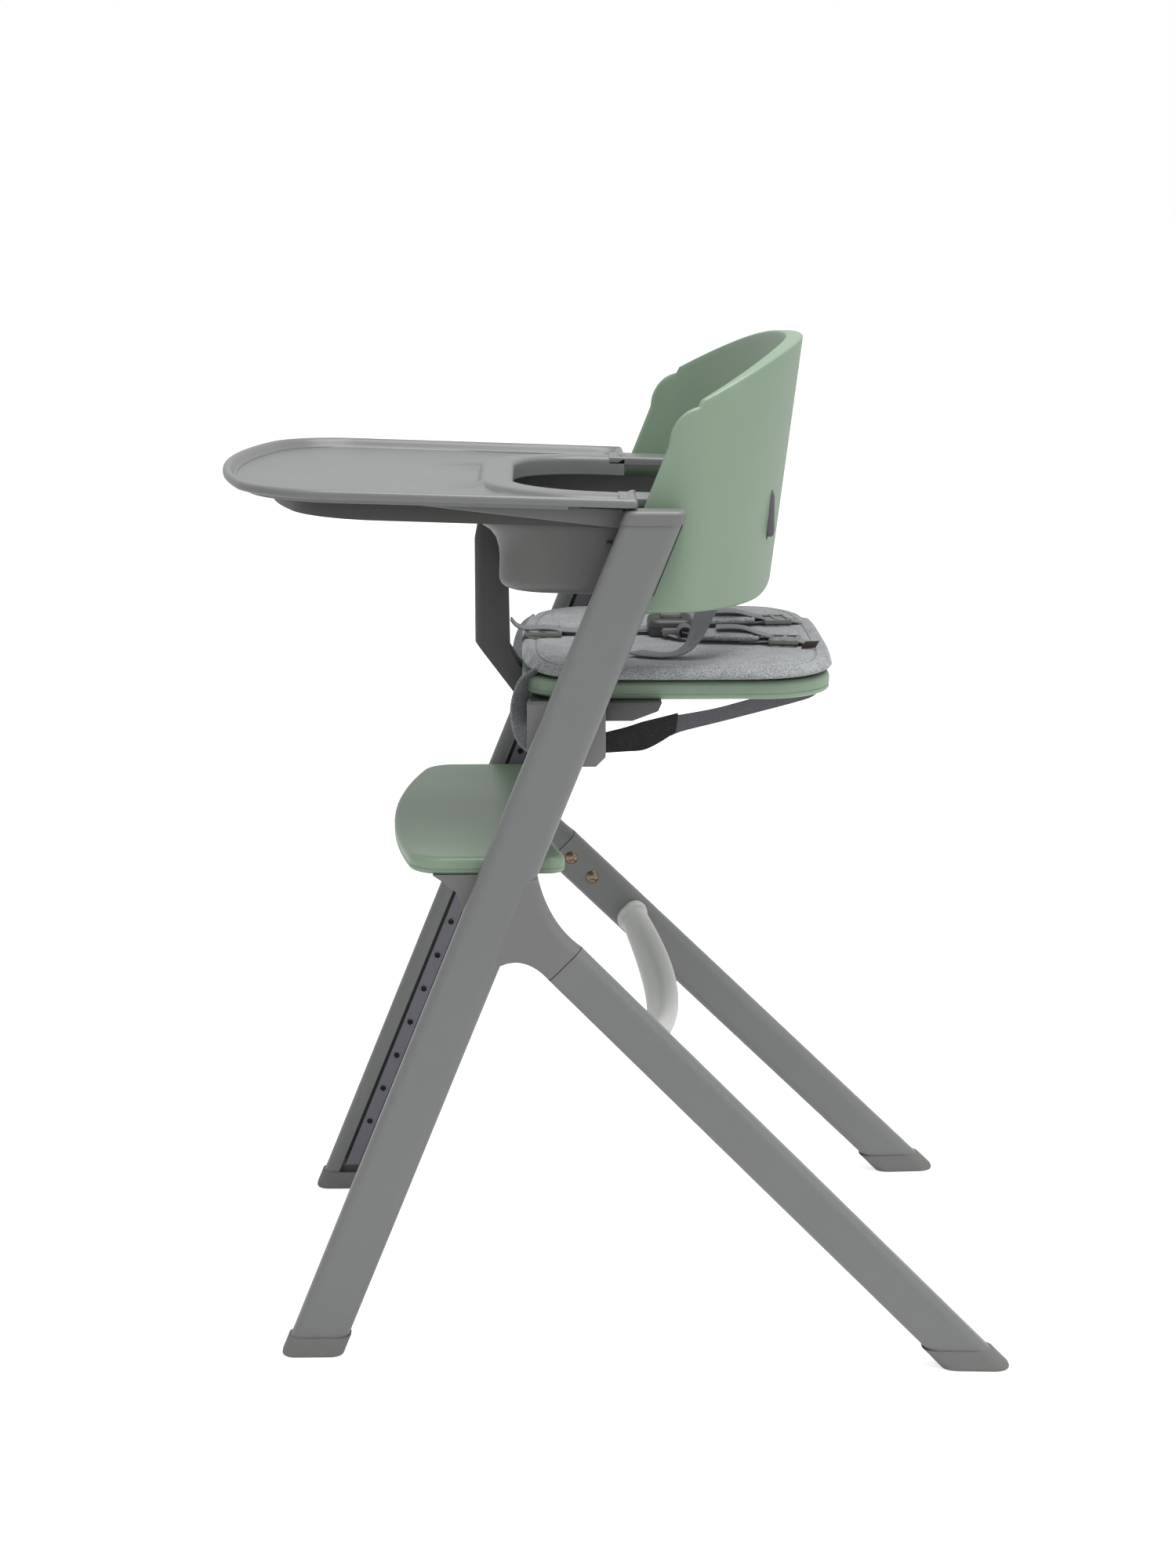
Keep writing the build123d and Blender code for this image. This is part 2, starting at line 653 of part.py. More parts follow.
def footrest():
    low = footrest_top - footrest_thick
    edge = footrest_front + footrest_sag
    side = footrest_half
    outline = Curve() + [ThreePointArc((-side, edge), (0, footrest_front), (side, edge)),
                         Line((side, edge), (side, footrest_rear)),
                         ThreePointArc((side, footrest_rear),
                                       (0, footrest_rear - footrest_hollow),
                                       (-side, footrest_rear)),
                         Line((-side, footrest_rear), (-side, edge))]
    face = make_face(outline)
    corners = face.vertices().group_by(Axis.Y)
    face = fillet(corners[0], footrest_corner * 2.2)
    face = fillet(face.vertices().group_by(Axis.Y)[-1], footrest_corner)
    plate = extrude(Pos(0, 0, low) * face, amount=footrest_thick)
    rims = [e for e in plate.edges() if abs(e.bounding_box().size.Z) < 0.01]
    plate = fillet(rims, 4.0)

    outer = leg_inner - slide_gap - 0.15
    bottom = low - 59
    bracket = side_profile([(-148, low), (-139, low - 6), (-129, low - 14), (-124, low - 25),
                            (-123.5, low - 34), (leg_y(bottom) - 19, bottom),
                            (leg_y(bottom) + 16, bottom), (-72, low)], bracket_half, outer)
    bracket += rail_tongues(bottom + 4, low - 4) & block((bracket_half, -300, 0), (300, 300, 900))
    bracket += block((bracket_half - 30, -140, low - 5), (footrest_half - 8, -72, low))
    screws = []
    for y in (-128, -84):
        spot = Pos(bracket_half - 15, y, 0)
        hole = spot * Pos(0, 0, low) * Cylinder(small_shank, 16)
        bracket -= hole
        plate -= hole
        plate -= mirror(hole, about=Plane.YZ)
        screws.append(spot * Pos(0, 0, low - 5) * Rot(180, 0, 0) * button_screw(
            small_head, 2.6, small_shank, 12.5, 1.4))
    bracket -= lock_pin("footrest_lock", footrest_hole, bracket_half)
    both("footrest_bracket", bracket)
    parts["footrest_plate"] = plate
    parts["footrest_screws"] = pair(Compound([s.solids()[0] for s in screws]))


def ribbon(points, x_middle, width, thick=web_thick):
    """A strap whose line is drawn in the YZ plane and whose width is along X."""
    face = Plane.YZ * trace(Polyline(*points), line_width=thick)
    return extrude(Pos(x_middle - width / 2, 0, 0) * face, amount=width)


def harness():
    top = cushion_top + soft_gap
    frame = block((-20, -72, top), (20, -40, top + 3.5)) - block((-15, -66, 0), (15, -58, 900))
    frame -= block((-15, -54, 0), (15, -46, 900))
    parts["crotch_slider"] = frame
    over = top + 3.5 + soft_gap + web_thick / 2
    parts["crotch_strap"] = ribbon([(post_front + post_depth + 9, over + 8), (-76, over + 1),
                                    (-66, over), (buckle_y - 22, over)], 0, web_width)
    buckle = block((-24, buckle_y - 20, top), (24, buckle_y + 20, top + 15))
    buckle = fillet(buckle.edges().filter_by(Axis.Z), 9)
    well = Pos(0, buckle_y, top + 15 - 2.5) * Cylinder(9.5, 5.2)
    parts["harness_buckle"] = buckle - well
    button = Pos(0, buckle_y, top + 15 + 0.4) * Cylinder(9.1, 4.4)
    parts["buckle_button"] = button

    pads, frames, straps = [], [], []
    direction = -8.0
    for side in (-1, 1):
        place = Pos(side * adjuster_x, adjuster_y, top + 2.5) * Rot(0, 0, side * direction)
        glide = Box(30, 24, 5) - Pos(0, 6, 0) * Box(23, 5, 9) - Pos(0, -6, 0) * Box(23, 5, 9)
        frames.append((place * glide).solids()[0])
        pad = Pos(side * 44, 100, top + 5) * Rot(0, 0, side * direction) * Box(38, 60, 10)
        pads.append(fillet(pad.edges().filter_by(Axis.Z), 10).solids()[0])
        low = top + 1.6
        straps.append(block((side * 52 - 11, 131, low), (side * 52 + 11, 136, low + web_thick)))
        straps.append(block((side * 37 - 11, 30, low), (side * 37 + 11, 68, low + web_thick)))
    parts["strap_adjusters"] = Compound(frames)
    parts["shoulder_pads"] = Compound(pads)
    parts["harness_straps"] = Compound([s.solids()[0] for s in straps])

    wall = shell_mid_y + 0.839 * (shell_depth + 0.127 * 60)
    hang = side_profile([(wall - 2, slot_low + 3), (wall - 2, slot_low + 28),
                         (wall - 20, slot_low + 26), (84, 632), (62, 606), (56, top + 14),
                         (74, top + 14), (80, 602), (100, 626), (wall - 20, slot_low + 3)],
                        slot_x - web_thick / 2, slot_x + web_thick / 2)
    both("shoulder_strap", hang)
    tab = side_profile([(wall - 1.6, slot_low + 5), (wall - 1.6, slot_high - 6),
                        (wall + 1.5, slot_high - 2), (wall + 5, slot_high - 8),
                        (wall + 5, slot_low + 12), (wall + 1, slot_low + 3)],
                       slot_x - slot_width / 2 + slide_gap, slot_x + slot_width / 2 - slide_gap)
    parts["harness_anchors"] = pair(tab)
    parts["cushion_label"] = block((76, seat_rear - 20, cushion_top + 0.05),
                                   (86, seat_rear - 8, cushion_top + 0.65))


def cushion_straps():
    past = strap_x - 1.2 - (seat_half - seat_corner)
    rear = seat_rear - seat_corner + sqrt(seat_corner ** 2 - max(past, 0) ** 2) + soft_gap
    low = seat_low - 6
    long_strap = side_profile([(rear, cushion_low - 1), (rear + 2, cushion_low - 1),
                               (rear + 2, low + 3), (rear - 6, low), (92, low - 19),
                               (56, low - 30), (56, low - 14), (92, low - 9),
                               (rear - 7, low + 4), (rear, low + 5)],
                              strap_x - 1.2, strap_x + 1.2)
    parts["cushion_straps"] = pair(long_strap)
    tab = side_profile([(55.6, low - 13), (55.6, low - 30), (30, low - 44), (-2, low - 48),
                        (-40, low - 50), (-40, low - 38), (-2, low - 32), (24, low - 22)], strap_x - 2.4, strap_x + 2.4)
    parts["strap_hook_tabs"] = pair(tab)
    front = seat_front
    loop = ribbon([(front + 10, cushion_low - 2), (front - 4, seat_low - 2),
                   (front - 8, seat_low - 16), (front - 1, seat_low - 38),
                   (front + 14, seat_low - 44)], strap_x + 12, 24)
    keep = extrude(Pos(0, (seat_front + seat_rear) / 2, seat_low - 1) * RectangleRounded(
        2 * seat_half + 0.6, seat_rear - seat_front + 0.6, seat_corner + 0.3),
        amount=seat_thick + 2)
    parts["cushion_front_loops"] = pair(max((loop - keep).solids(), key=lambda s: s.volume))


front_legs()
rear_legs()
handle()
backrest()
guard()
tray()
seat()
footrest()
harness()
cushion_straps()

os.makedirs("parts", exist_ok=True)
for name, solid in parts.items():
    export_step(solid, f"parts/{name}.step")
print(len(parts), "nodes")
whole = Compound([s for p in parts.values() for s in p.solids()]).bounding_box()
print("from", whole.min, "to", whole.max)
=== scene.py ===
from math import cos, hypot, pi, radians, sin, tan

import bmesh
import bpy
import numpy as np
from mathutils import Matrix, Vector
from mathutils.bvhtree import BVHTree


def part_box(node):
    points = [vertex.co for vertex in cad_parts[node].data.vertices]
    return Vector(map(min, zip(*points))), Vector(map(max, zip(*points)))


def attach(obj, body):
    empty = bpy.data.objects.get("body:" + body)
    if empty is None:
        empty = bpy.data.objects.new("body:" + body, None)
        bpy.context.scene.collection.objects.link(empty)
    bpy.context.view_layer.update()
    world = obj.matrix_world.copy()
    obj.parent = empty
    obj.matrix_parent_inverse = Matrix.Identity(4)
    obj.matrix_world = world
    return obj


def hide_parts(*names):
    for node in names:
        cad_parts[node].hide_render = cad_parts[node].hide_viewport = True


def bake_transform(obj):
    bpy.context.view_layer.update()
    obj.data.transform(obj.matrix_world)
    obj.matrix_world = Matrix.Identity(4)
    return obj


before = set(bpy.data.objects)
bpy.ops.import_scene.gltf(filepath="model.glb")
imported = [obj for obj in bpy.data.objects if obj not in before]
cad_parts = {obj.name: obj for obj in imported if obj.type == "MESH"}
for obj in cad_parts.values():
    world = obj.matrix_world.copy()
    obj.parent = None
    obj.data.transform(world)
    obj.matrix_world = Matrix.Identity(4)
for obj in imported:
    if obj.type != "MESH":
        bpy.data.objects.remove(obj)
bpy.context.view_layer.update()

# A baby high chair. Shapes are worked out in millimetres and stored in metres.
# The child faces -Y, and +X is the child's left.


def linear(red, green, blue):
    parts = [c / 255 for c in (red, green, blue)]
    return tuple(c / 12.92 if c <= 0.04 else ((c + 0.055) / 1.055) ** 2.4 for c in parts) + (1.0,)


# --- camera, floor and lights ---

camera = dict(place=(2.5689, -0.0629, 0.9909), turn=1.024, down=12.009, lens=68.39, sensor=36.0)
light = dict(world=0.62, seen=1.0, top=82, front=4, back=6, floor=(252, 252, 252), glow=0.6)


def addCamera():
    data = bpy.data.cameras.new("camera")
    data.lens = camera["lens"]
    data.sensor_width = camera["sensor"]
    item = bpy.data.objects.new("camera", data)
    item.location = camera["place"]
    turn, down = radians(camera["turn"]), radians(camera["down"])
    look = Vector((-cos(turn) * cos(down), sin(turn) * cos(down), -sin(down)))
    item.rotation_euler = look.to_track_quat("-Z", "Y").to_euler()
    bpy.context.collection.objects.link(item)
    bpy.context.scene.camera = item


def addLamp(name, place, target, size, watts):
    data = bpy.data.lights.new(name, "AREA")
    data.shape = "DISK"
    data.size = size
    data.energy = watts
    item = bpy.data.objects.new(name, data)
    item.location = place
    item.rotation_euler = (Vector(target) - Vector(place)).to_track_quat("-Z", "Y").to_euler()
    bpy.context.collection.objects.link(item)


def addStudio():
    world = bpy.data.worlds.new("studio")
    bpy.context.scene.world = world
    world.use_nodes = True
    # the camera sees white paper, and the chair is lit by a greyer room
    tree = world.node_tree
    tree.nodes["Background"].inputs["Color"].default_value = (1, 1, 1, 1)
    ray = tree.nodes.new("ShaderNodeLightPath").outputs["Is Camera Ray"]
    tree.links.new(rangeNode(tree, ray, light["world"], light["seen"], 0, 1),
                   tree.nodes["Background"].inputs["Strength"])
    addLamp("topLamp", (0.4, 0.5, 3.0), (0, 0, 0.4), 2.4, light["top"])
    addLamp("frontLamp", (2.6, -1.6, 1.7), (0, 0, 0.45), 1.8, light["front"])
    addLamp("backLamp", (1.6, 2.6, 1.9), (0, 0, 0.45), 1.8, light["back"])
    mesh = bpy.data.meshes.new("floor")
    reach = 40.0
    mesh.from_pydata([(-reach, -reach, 0), (reach, -reach, 0), (reach, reach, 0), (-reach, reach, 0)],
                     [], [(0, 1, 2, 3)])
    floor = bpy.data.objects.new("floor", mesh)
    bpy.context.collection.objects.link(floor)
    paper, tree, shader = newMaterial("paper")
    shader.inputs["Base Color"].default_value = linear(*light["floor"])
    shader.inputs["Roughness"].default_value = 0.9
    shader.inputs["Specular IOR Level"].default_value = 0.1
    shader.inputs["Emission Color"].default_value = (1, 1, 1, 1)
    ray = tree.nodes.new("ShaderNodeLightPath").outputs["Is Camera Ray"]
    tree.links.new(rangeNode(tree, ray, 0, light["glow"], 0, 1), shader.inputs["Emission Strength"])
    mesh.materials.append(paper)
    bpy.context.scene.view_settings.view_transform = "Standard"


# --- materials ---

finish = dict(
    legPaint=dict(colour=(113, 114, 114), rough=0.40, grain=1500, depth=0.000016, mottle=0.03),
    greyPlastic=dict(colour=(110, 111, 110), rough=0.44, grain=1100, depth=0.00002, mottle=0.03),
    trayPlastic=dict(colour=(112, 113, 113), rough=0.33, grain=900, depth=0.000012, mottle=0.02),
    greenPlastic=dict(colour=(127, 147, 127), rough=0.36, grain=1200, depth=0.000014, mottle=0.02),
    # the tray base's grey is set darker than the part is, as painted shade for its underside
    baseShadePlastic=dict(colour=(60, 60, 58), rough=0.42, grain=1100, depth=0.00002, mottle=0.03),
    # the guard's grey is set a little darker than the other greys, as painted shade under the tray
    guardShadedGrey=dict(colour=(98, 98, 97), rough=0.42, grain=1100, depth=0.00002, mottle=0.03),
    handlePlastic=dict(colour=(196, 196, 194), rough=0.42, grain=1100, depth=0.00002, mottle=0.03),
    darkPlastic=dict(colour=(70, 70, 71), rough=0.45, grain=1100, depth=0.00002, mottle=0.04),
    railPlastic=dict(colour=(104, 104, 112), rough=0.42, grain=1000, depth=0.00002, mottle=0.03),
    footRubber=dict(colour=(108, 108, 107), rough=0.62, grain=800, depth=0.00003, mottle=0.05),
    buckleGrey=dict(colour=(112, 114, 110), rough=0.38, grain=1200, depth=0.000014, mottle=0.03),
    # near black: painted shade in the leg channels, the rail holes and the gap behind the legs, and the
    # seam lines at the rear-leg joints
    seamAndShadeBlack=dict(colour=(18, 18, 19), rough=0.7, grain=900, depth=0.00001, mottle=0.05))


def newMaterial(name):
    material = bpy.data.materials.new(name)
    material.use_nodes = True
    tree = material.node_tree
    return material, tree, tree.nodes["Principled BSDF"]


def noiseNode(tree, source, scale, detail, stretch=(1, 1, 1)):
    mapping = tree.nodes.new("ShaderNodeMapping")
    mapping.inputs["Scale"].default_value = stretch
    tree.links.new(source, mapping.inputs["Vector"])
    noise = tree.nodes.new("ShaderNodeTexNoise")
    noise.inputs["Scale"].default_value = scale
    noise.inputs["Detail"].default_value = detail
    tree.links.new(mapping.outputs["Vector"], noise.inputs["Vector"])
    return noise.outputs["Fac"]


def mathNode(tree, operation, first, second=None):
    node = tree.nodes.new("ShaderNodeMath")
    node.operation = operation
    for socket, value in zip(node.inputs, (first, second)):
        if isinstance(value, (int, float)):
            socket.default_value = value
        elif value is not None:
            tree.links.new(value, socket)
    return node.outputs[0]


def rangeNode(tree, value, low, high, start=0.35, end=0.65):
    node = tree.nodes.new("ShaderNodeMapRange")
    for name, number in (("From Min", start), ("From Max", end), ("To Min", low), ("To Max", high)):
        node.inputs[name].default_value = number
    tree.links.new(value, node.inputs["Value"])
    return node.outputs["Result"]


def blendColour(tree, shader, factor, low, high):
    node = tree.nodes.new("ShaderNodeMix")
    node.data_type = "RGBA"
    sockets = {s.identifier: s for s in node.inputs}
    sockets["A_Color"].default_value = low
    sockets["B_Color"].default_value = high
    tree.links.new(factor, sockets["Factor_Float"])
    out = {s.identifier: s for s in node.outputs}["Result_Color"]
    tree.links.new(out, shader.inputs["Base Color"])


def addBump(tree, shader, height, depth, strength=1.0):
    bump = tree.nodes.new("ShaderNodeBump")
    bump.inputs["Strength"].default_value = strength
    bump.inputs["Distance"].default_value = depth
    tree.links.new(height, bump.inputs["Height"])
    tree.links.new(bump.outputs["Normal"], shader.inputs["Normal"])


def shade(colour, factor):
    return tuple(min(1.0, c * factor) for c in colour[:3]) + (1.0,)


def mouldedPlastic(name):
    look = finish[name]
    material, tree, shader = newMaterial(name)
    place = tree.nodes.new("ShaderNodeTexCoord").outputs["Object"]
    broad = noiseNode(tree, place, 7, 3)
    fine = noiseNode(tree, place, look["grain"], 2)
    colour = linear(*look["colour"])
    blendColour(tree, shader, rangeNode(tree, broad, 0, 1), shade(colour, 1 - look["mottle"]),
                shade(colour, 1 + look["mottle"]))
    rough = mathNode(tree, "ADD", rangeNode(tree, broad, look["rough"] - 0.03, look["rough"] + 0.02),
                     rangeNode(tree, fine, -0.03, 0.03))
    tree.links.new(rough, shader.inputs["Roughness"])
    shader.inputs["Specular IOR Level"].default_value = 0.45
    addBump(tree, shader, fine, look["depth"])
    return material


def melangeFabric(name, light, dark, thread=0.55, depth=0.00022):
    # woven from light and dark yarns; thread is one yarn's width in millimetres
    material, tree, shader = newMaterial(name)
    place = tree.nodes.new("ShaderNodeTexCoord").outputs["Object"]
    pitch = 1000 / thread
    along = noiseNode(tree, place, pitch, 1, (0.3, 1, 1))
    across = noiseNode(tree, place, pitch, 1, (1, 0.3, 1))
    broad = noiseNode(tree, place, 60, 3)
    yarns = mathNode(tree, "ADD", mathNode(tree, "MULTIPLY", along, 0.5),
                     mathNode(tree, "MULTIPLY", across, 0.5))
    tone = mathNode(tree, "ADD", yarns, mathNode(tree, "MULTIPLY", broad, 0.12))
    blendColour(tree, shader, rangeNode(tree, tone, 0, 1, 0.44, 0.68), linear(*dark), linear(*light))
    shader.inputs["Roughness"].default_value = 0.92
    shader.inputs["Sheen Weight"].default_value = 0.25
    shader.inputs["Sheen Roughness"].default_value = 0.5
    shader.inputs["Specular IOR Level"].default_value = 0.2
    addBump(tree, shader, yarns, depth)
    return material


def webbingWeave(name, light, dark, rib=1.1, band=5.0, depth=0.0003):
    # herringbone: slanted ribs that turn back at each band, along the strap's own map
    material, tree, shader = newMaterial(name)
    split = tree.nodes.new("ShaderNodeSeparateXYZ")
    tree.links.new(tree.nodes.new("ShaderNodeTexCoord").outputs["UV"], split.inputs[0])
    zigzag = mathNode(tree, "PINGPONG", split.outputs["Y"], band)
    phase = mathNode(tree, "MULTIPLY", mathNode(tree, "ADD", split.outputs["X"], zigzag), 2 * pi / rib)
    ribs = mathNode(tree, "SINE", phase)
    place = tree.nodes.new("ShaderNodeTexCoord").outputs["Object"]
    fuzz = noiseNode(tree, place, 1400, 2)
    height = mathNode(tree, "ADD", mathNode(tree, "MULTIPLY", ribs, 0.5), fuzz)
    blendColour(tree, shader, rangeNode(tree, height, 0, 1, 0.0, 1.0), linear(*dark), linear(*light))
    shader.inputs["Roughness"].default_value = 0.8
    shader.inputs["Sheen Weight"].default_value = 0.15
    shader.inputs["Specular IOR Level"].default_value = 0.25
    addBump(tree, shader, height, depth)
    return material


def hookPile(name):
    # short stiff loops, nearly black
    material, tree, shader = newMaterial(name)
    place = tree.nodes.new("ShaderNodeTexCoord").outputs["Object"]
    loops = tree.nodes.new("ShaderNodeTexVoronoi")
    loops.inputs["Scale"].default_value = 1300
    tree.links.new(place, loops.inputs["Vector"])
    blendColour(tree, shader, rangeNode(tree, loops.outputs["Distance"], 0, 1, 0.1, 0.8),
                linear(52, 52, 55), linear(20, 20, 22))
    shader.inputs["Roughness"].default_value = 0.85
    addBump(tree, shader, loops.outputs["Distance"], 0.0003)
    return material


def bronzeSteel(name):
    material, tree, shader = newMaterial(name)
    place = tree.nodes.new("ShaderNodeTexCoord").outputs["Object"]
    fine = noiseNode(tree, place, 900, 3)
    blendColour(tree, shader, fine, linear(122, 104, 88), linear(158, 138, 118))
    shader.inputs["Metallic"].default_value = 1.0
    tree.links.new(rangeNode(tree, fine, 0.24, 0.38), shader.inputs["Roughness"])
    addBump(tree, shader, fine, 0.00001)
    return material


materials = {name: mouldedPlastic(name) for name in finish}
materials["cushionFabric"] = melangeFabric("cushionFabric", (166, 169, 171), (92, 94, 97))
materials["seamThread"] = melangeFabric("seamThread", (104, 106, 109), (72, 74, 77), 0.3, 0.00005)
materials["loopFabric"] = melangeFabric("loopFabric", (150, 151, 156), (92, 93, 98), 0.7)
materials["padFabric"] = melangeFabric("padFabric", (164, 166, 168), (96, 97, 100), 0.5)
materials["cushionThread"] = melangeFabric("cushionThread", (186, 188, 190), (140, 141, 143), 0.3, 0.00005)
materials["webbing"] = webbingWeave("webbing", (156, 159, 162), (84, 87, 91))
materials["darkWebbing"] = webbingWeave("darkWebbing", (120, 117, 124), (72, 70, 76), 1.6)
materials["labelFabric"] = melangeFabric("labelFabric", (92, 74, 62), (58, 45, 38), 0.4, 0.0001)
materials["hookFabric"] = hookPile("hookFabric")
materials["screwSteel"] = bronzeSteel("screwSteel")
print("materials made")


# --- mesh helpers ---

sharpAngle = 38  # degrees; a steeper edge stays sharp


def nodeBox(name):
    low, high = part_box(name)
    return np.array(low) * 1000, np.array(high) * 1000


def newObject(name, mesh):
    item = bpy.data.objects.new(name, mesh)
    bpy.context.collection.objects.link(item)
    return item


def cleanMesh(mesh, flat=None):
    # join doubled points, then merge flat faces or turn all normals outwards
    tidy = bmesh.new()
    tidy.from_mesh(mesh)
    bmesh.ops.remove_doubles(tidy, verts=tidy.verts, dist=1e-6)
    if flat:
        bmesh.ops.dissolve_limit(tidy, angle_limit=radians(flat), verts=tidy.verts, edges=tidy.edges)
    else:
        bmesh.ops.recalc_face_normals(tidy, faces=tidy.faces)
    tidy.to_mesh(mesh)
    tidy.free()


def addPiece(name, shape, material, body, nodes=(), sharp=sharpAngle):
    # a shape is points, faces and, for a strap, its own map in millimetres
    points, faces = shape[:2]
    mesh = bpy.data.meshes.new(name)
    mesh.from_pydata((np.asarray(points, float) / 1000).tolist(), [], faces)
    if len(shape) > 2:
        corners = np.empty(len(mesh.loops), int)
        mesh.loops.foreach_get("vertex_index", corners)
        layer = mesh.uv_layers.new(name="strap")
        layer.data.foreach_set("uv", np.asarray(shape[2], float)[corners].ravel())
    cleanMesh(mesh)
    return dress(newObject(name, mesh), material, body, nodes, sharp)


def dress(piece, material, body, nodes=(), sharp=sharpAngle):
    # smooth faces, one material, and the body that carries it
    mesh = piece.data
    mesh.polygons.foreach_set("use_smooth", [True] * len(mesh.polygons))
    mesh.set_sharp_from_angle(angle=radians(sharp))
    mesh.materials.clear()
    mesh.materials.append(materials[material])
    mesh.polygons.foreach_set("material_index", [0] * len(mesh.polygons))
    if body:
        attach(piece, body)
    if nodes:
        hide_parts(*nodes)
    return piece


def loft(rings, ends=True, roundRing=True):
    rings = [np.asarray(ring, float) for ring in rings]
    count = len(rings[0])
    faces = []
    for k in range(len(rings) - 1):
        for i in range(count if roundRing else count - 1):
            j = (i + 1) % count
            faces.append((k * count + i, k * count + j, (k + 1) * count + j, (k + 1) * count + i))
    if ends:
        faces.append(tuple(range(count)))
        faces.append(tuple(range((len(rings) - 1) * count, len(rings) * count)))
    return np.concatenate(rings), faces


def together(*solids):
    points, faces, start = [], [], 0
    for solid in solids:
        points.append(np.asarray(solid[0], float))
        faces += [tuple(i + start for i in face) for face in solid[1]]
        start += len(solid[0])
    maps = [np.concatenate([s[2] for s in solids])] if all(len(s) > 2 for s in solids) else []
    return np.concatenate(points), faces, *maps


def mirrored(shape):
    return shape[0] * np.array([-1, 1, 1]), *shape[1:]


def bothSides(shape):
    return together(shape, mirrored(shape))


def roundedRectangle(halfX, halfY, corner, steps=6):
    angles = np.linspace(0, pi / 2, steps + 1)
    points = []
    for quarter, (sx, sy) in enumerate(((1, 1), (-1, 1), (-1, -1), (1, -1))):
        for a in angles + quarter * pi / 2:
            points.append((sx * (halfX - corner) + corner * cos(a),
                           sy * (halfY - corner) + corner * sin(a)))
    return np.array(points)


def setOn(flat, origin, xAxis, yAxis):
    origin, xAxis, yAxis = (np.asarray(v, float) for v in (origin, xAxis, yAxis))
    return origin + flat[:, :1] * xAxis + flat[:, 1:2] * yAxis


def evenly(line, count, closed=True):
    # the same line with evenly spaced points
    line = np.asarray(line, float)
    if closed:
        line = np.vstack([line, line[:1]])
    steps = np.linalg.norm(np.diff(line, axis=0), axis=1)
    reach = np.concatenate([[0], np.cumsum(steps)])
    places = np.linspace(0, reach[-1], count + 1)[:-1] if closed else np.linspace(0, reach[-1], count)
    return np.column_stack([np.interp(places, reach, line[:, k]) for k in range(line.shape[1])])


def inset(outline, amount):
    # a closed outline moved inwards, whichever way it turns
    ahead, behind = np.roll(outline, -1, 0), np.roll(outline, 1, 0)
    along = ahead - behind
    along /= np.linalg.norm(along, axis=1)[:, None]
    area = np.sum(outline[:, 0] * ahead[:, 1] - ahead[:, 0] * outline[:, 1])
    inward = np.column_stack([-along[:, 1], along[:, 0]]) * np.sign(area)
    return outline + inward * amount


def cutOutline(node, z, count):
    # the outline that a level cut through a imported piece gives
    copy = bmesh.new()
    copy.from_mesh(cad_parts[node].data)
    bmesh.ops.remove_doubles(copy, verts=copy.verts, dist=1e-6)
    everything = list(copy.verts) + list(copy.edges) + list(copy.faces)
    cut = bmesh.ops.bisect_plane(copy, geom=everything, plane_co=(0, 0, z / 1000), plane_no=(0, 0, 1))
    edges = [e for e in cut["geom_cut"] if isinstance(e, bmesh.types.BMEdge)]
    links = {}
    for edge in edges:
        a, b = edge.verts
        links.setdefault(a, []).append(b)
        links.setdefault(b, []).append(a)
    best = []
    while links:
        start = next(iter(links))
        loop, here = [], start
        while here is not None:
            loop.append(here)
            ways = links.pop(here, [])
            here = next((v for v in ways if v in links), None)
        if len(loop) > 2:
            line = np.array([(v.co.x, v.co.y) for v in loop]) * 1000
            size = np.ptp(line[:, 0]) * np.ptp(line[:, 1])
            best = max(best, [(size, line.tolist())])
    copy.free()
    return evenly(np.array(best[0][1]), count)


def slabFrom(outline, profile):
    # profile lists (inset, z) from the middle of the top to the middle of the underside
    return loft([np.column_stack([inset(outline, amount), np.full(len(outline), z)])
                 for amount, z in profile])


def edgeProfile(low, high, upper, lower, seam=None, groove=0.5, steps=6):
    # a rounded edge in (inset, z), with a parting groove at one height
    turns = np.linspace(0, pi / 2, steps + 1)
    profile = [(upper + 2.5, high)] + [(upper * (1 - sin(a)), high - upper * (1 - cos(a))) for a in turns]
    if seam:
        profile += [(0, seam + 0.45), (groove, seam + 0.2), (groove, seam - 0.2), (0.15, seam - 0.45)]
    under = 0.15 if seam else 0
    profile += [(under + lower * (1 - cos(a)), low + lower * (1 - sin(a))) for a in turns]
    return profile + [(lower + 2.5, low)]


def ribbon(points, width, thick, sides=None, step=3.0, corner=0.45):
    # a flat strap through the points; sides gives its width's direction at each point
    points = np.asarray(points, float)
    line = smoothLine(points, step)
    sides = np.asarray([(1, 0, 0)] * len(points) if sides is None else sides, float)
    places = np.linspace(0, 1, len(line))
    knots = lineShare(points)
    across = np.column_stack([np.interp(places, knots, sides[:, k]) for k in range(3)])
    along = np.gradient(line, axis=0)
    along /= np.linalg.norm(along, axis=1)[:, None]
    across -= along * np.sum(across * along, axis=1)[:, None]
    across /= np.linalg.norm(across, axis=1)[:, None]
    up = np.cross(along, across)
    section = roundedRectangle(width / 2, thick / 2, thick * corner, 2)
    rings = [setOn(section, line[k], across[k], up[k]) for k in range(len(line))]
    reach = np.concatenate([[0], np.cumsum(np.linalg.norm(np.diff(line, axis=0), axis=1))])
    flatMap = np.column_stack([np.repeat(reach, len(section)), np.tile(section[:, 0], len(line)) + width])
    return *loft(rings), flatMap


def lineShare(points):
    steps = np.linalg.norm(np.diff(points, axis=0), axis=1)
    return np.concatenate([[0], np.cumsum(steps)]) / steps.sum()


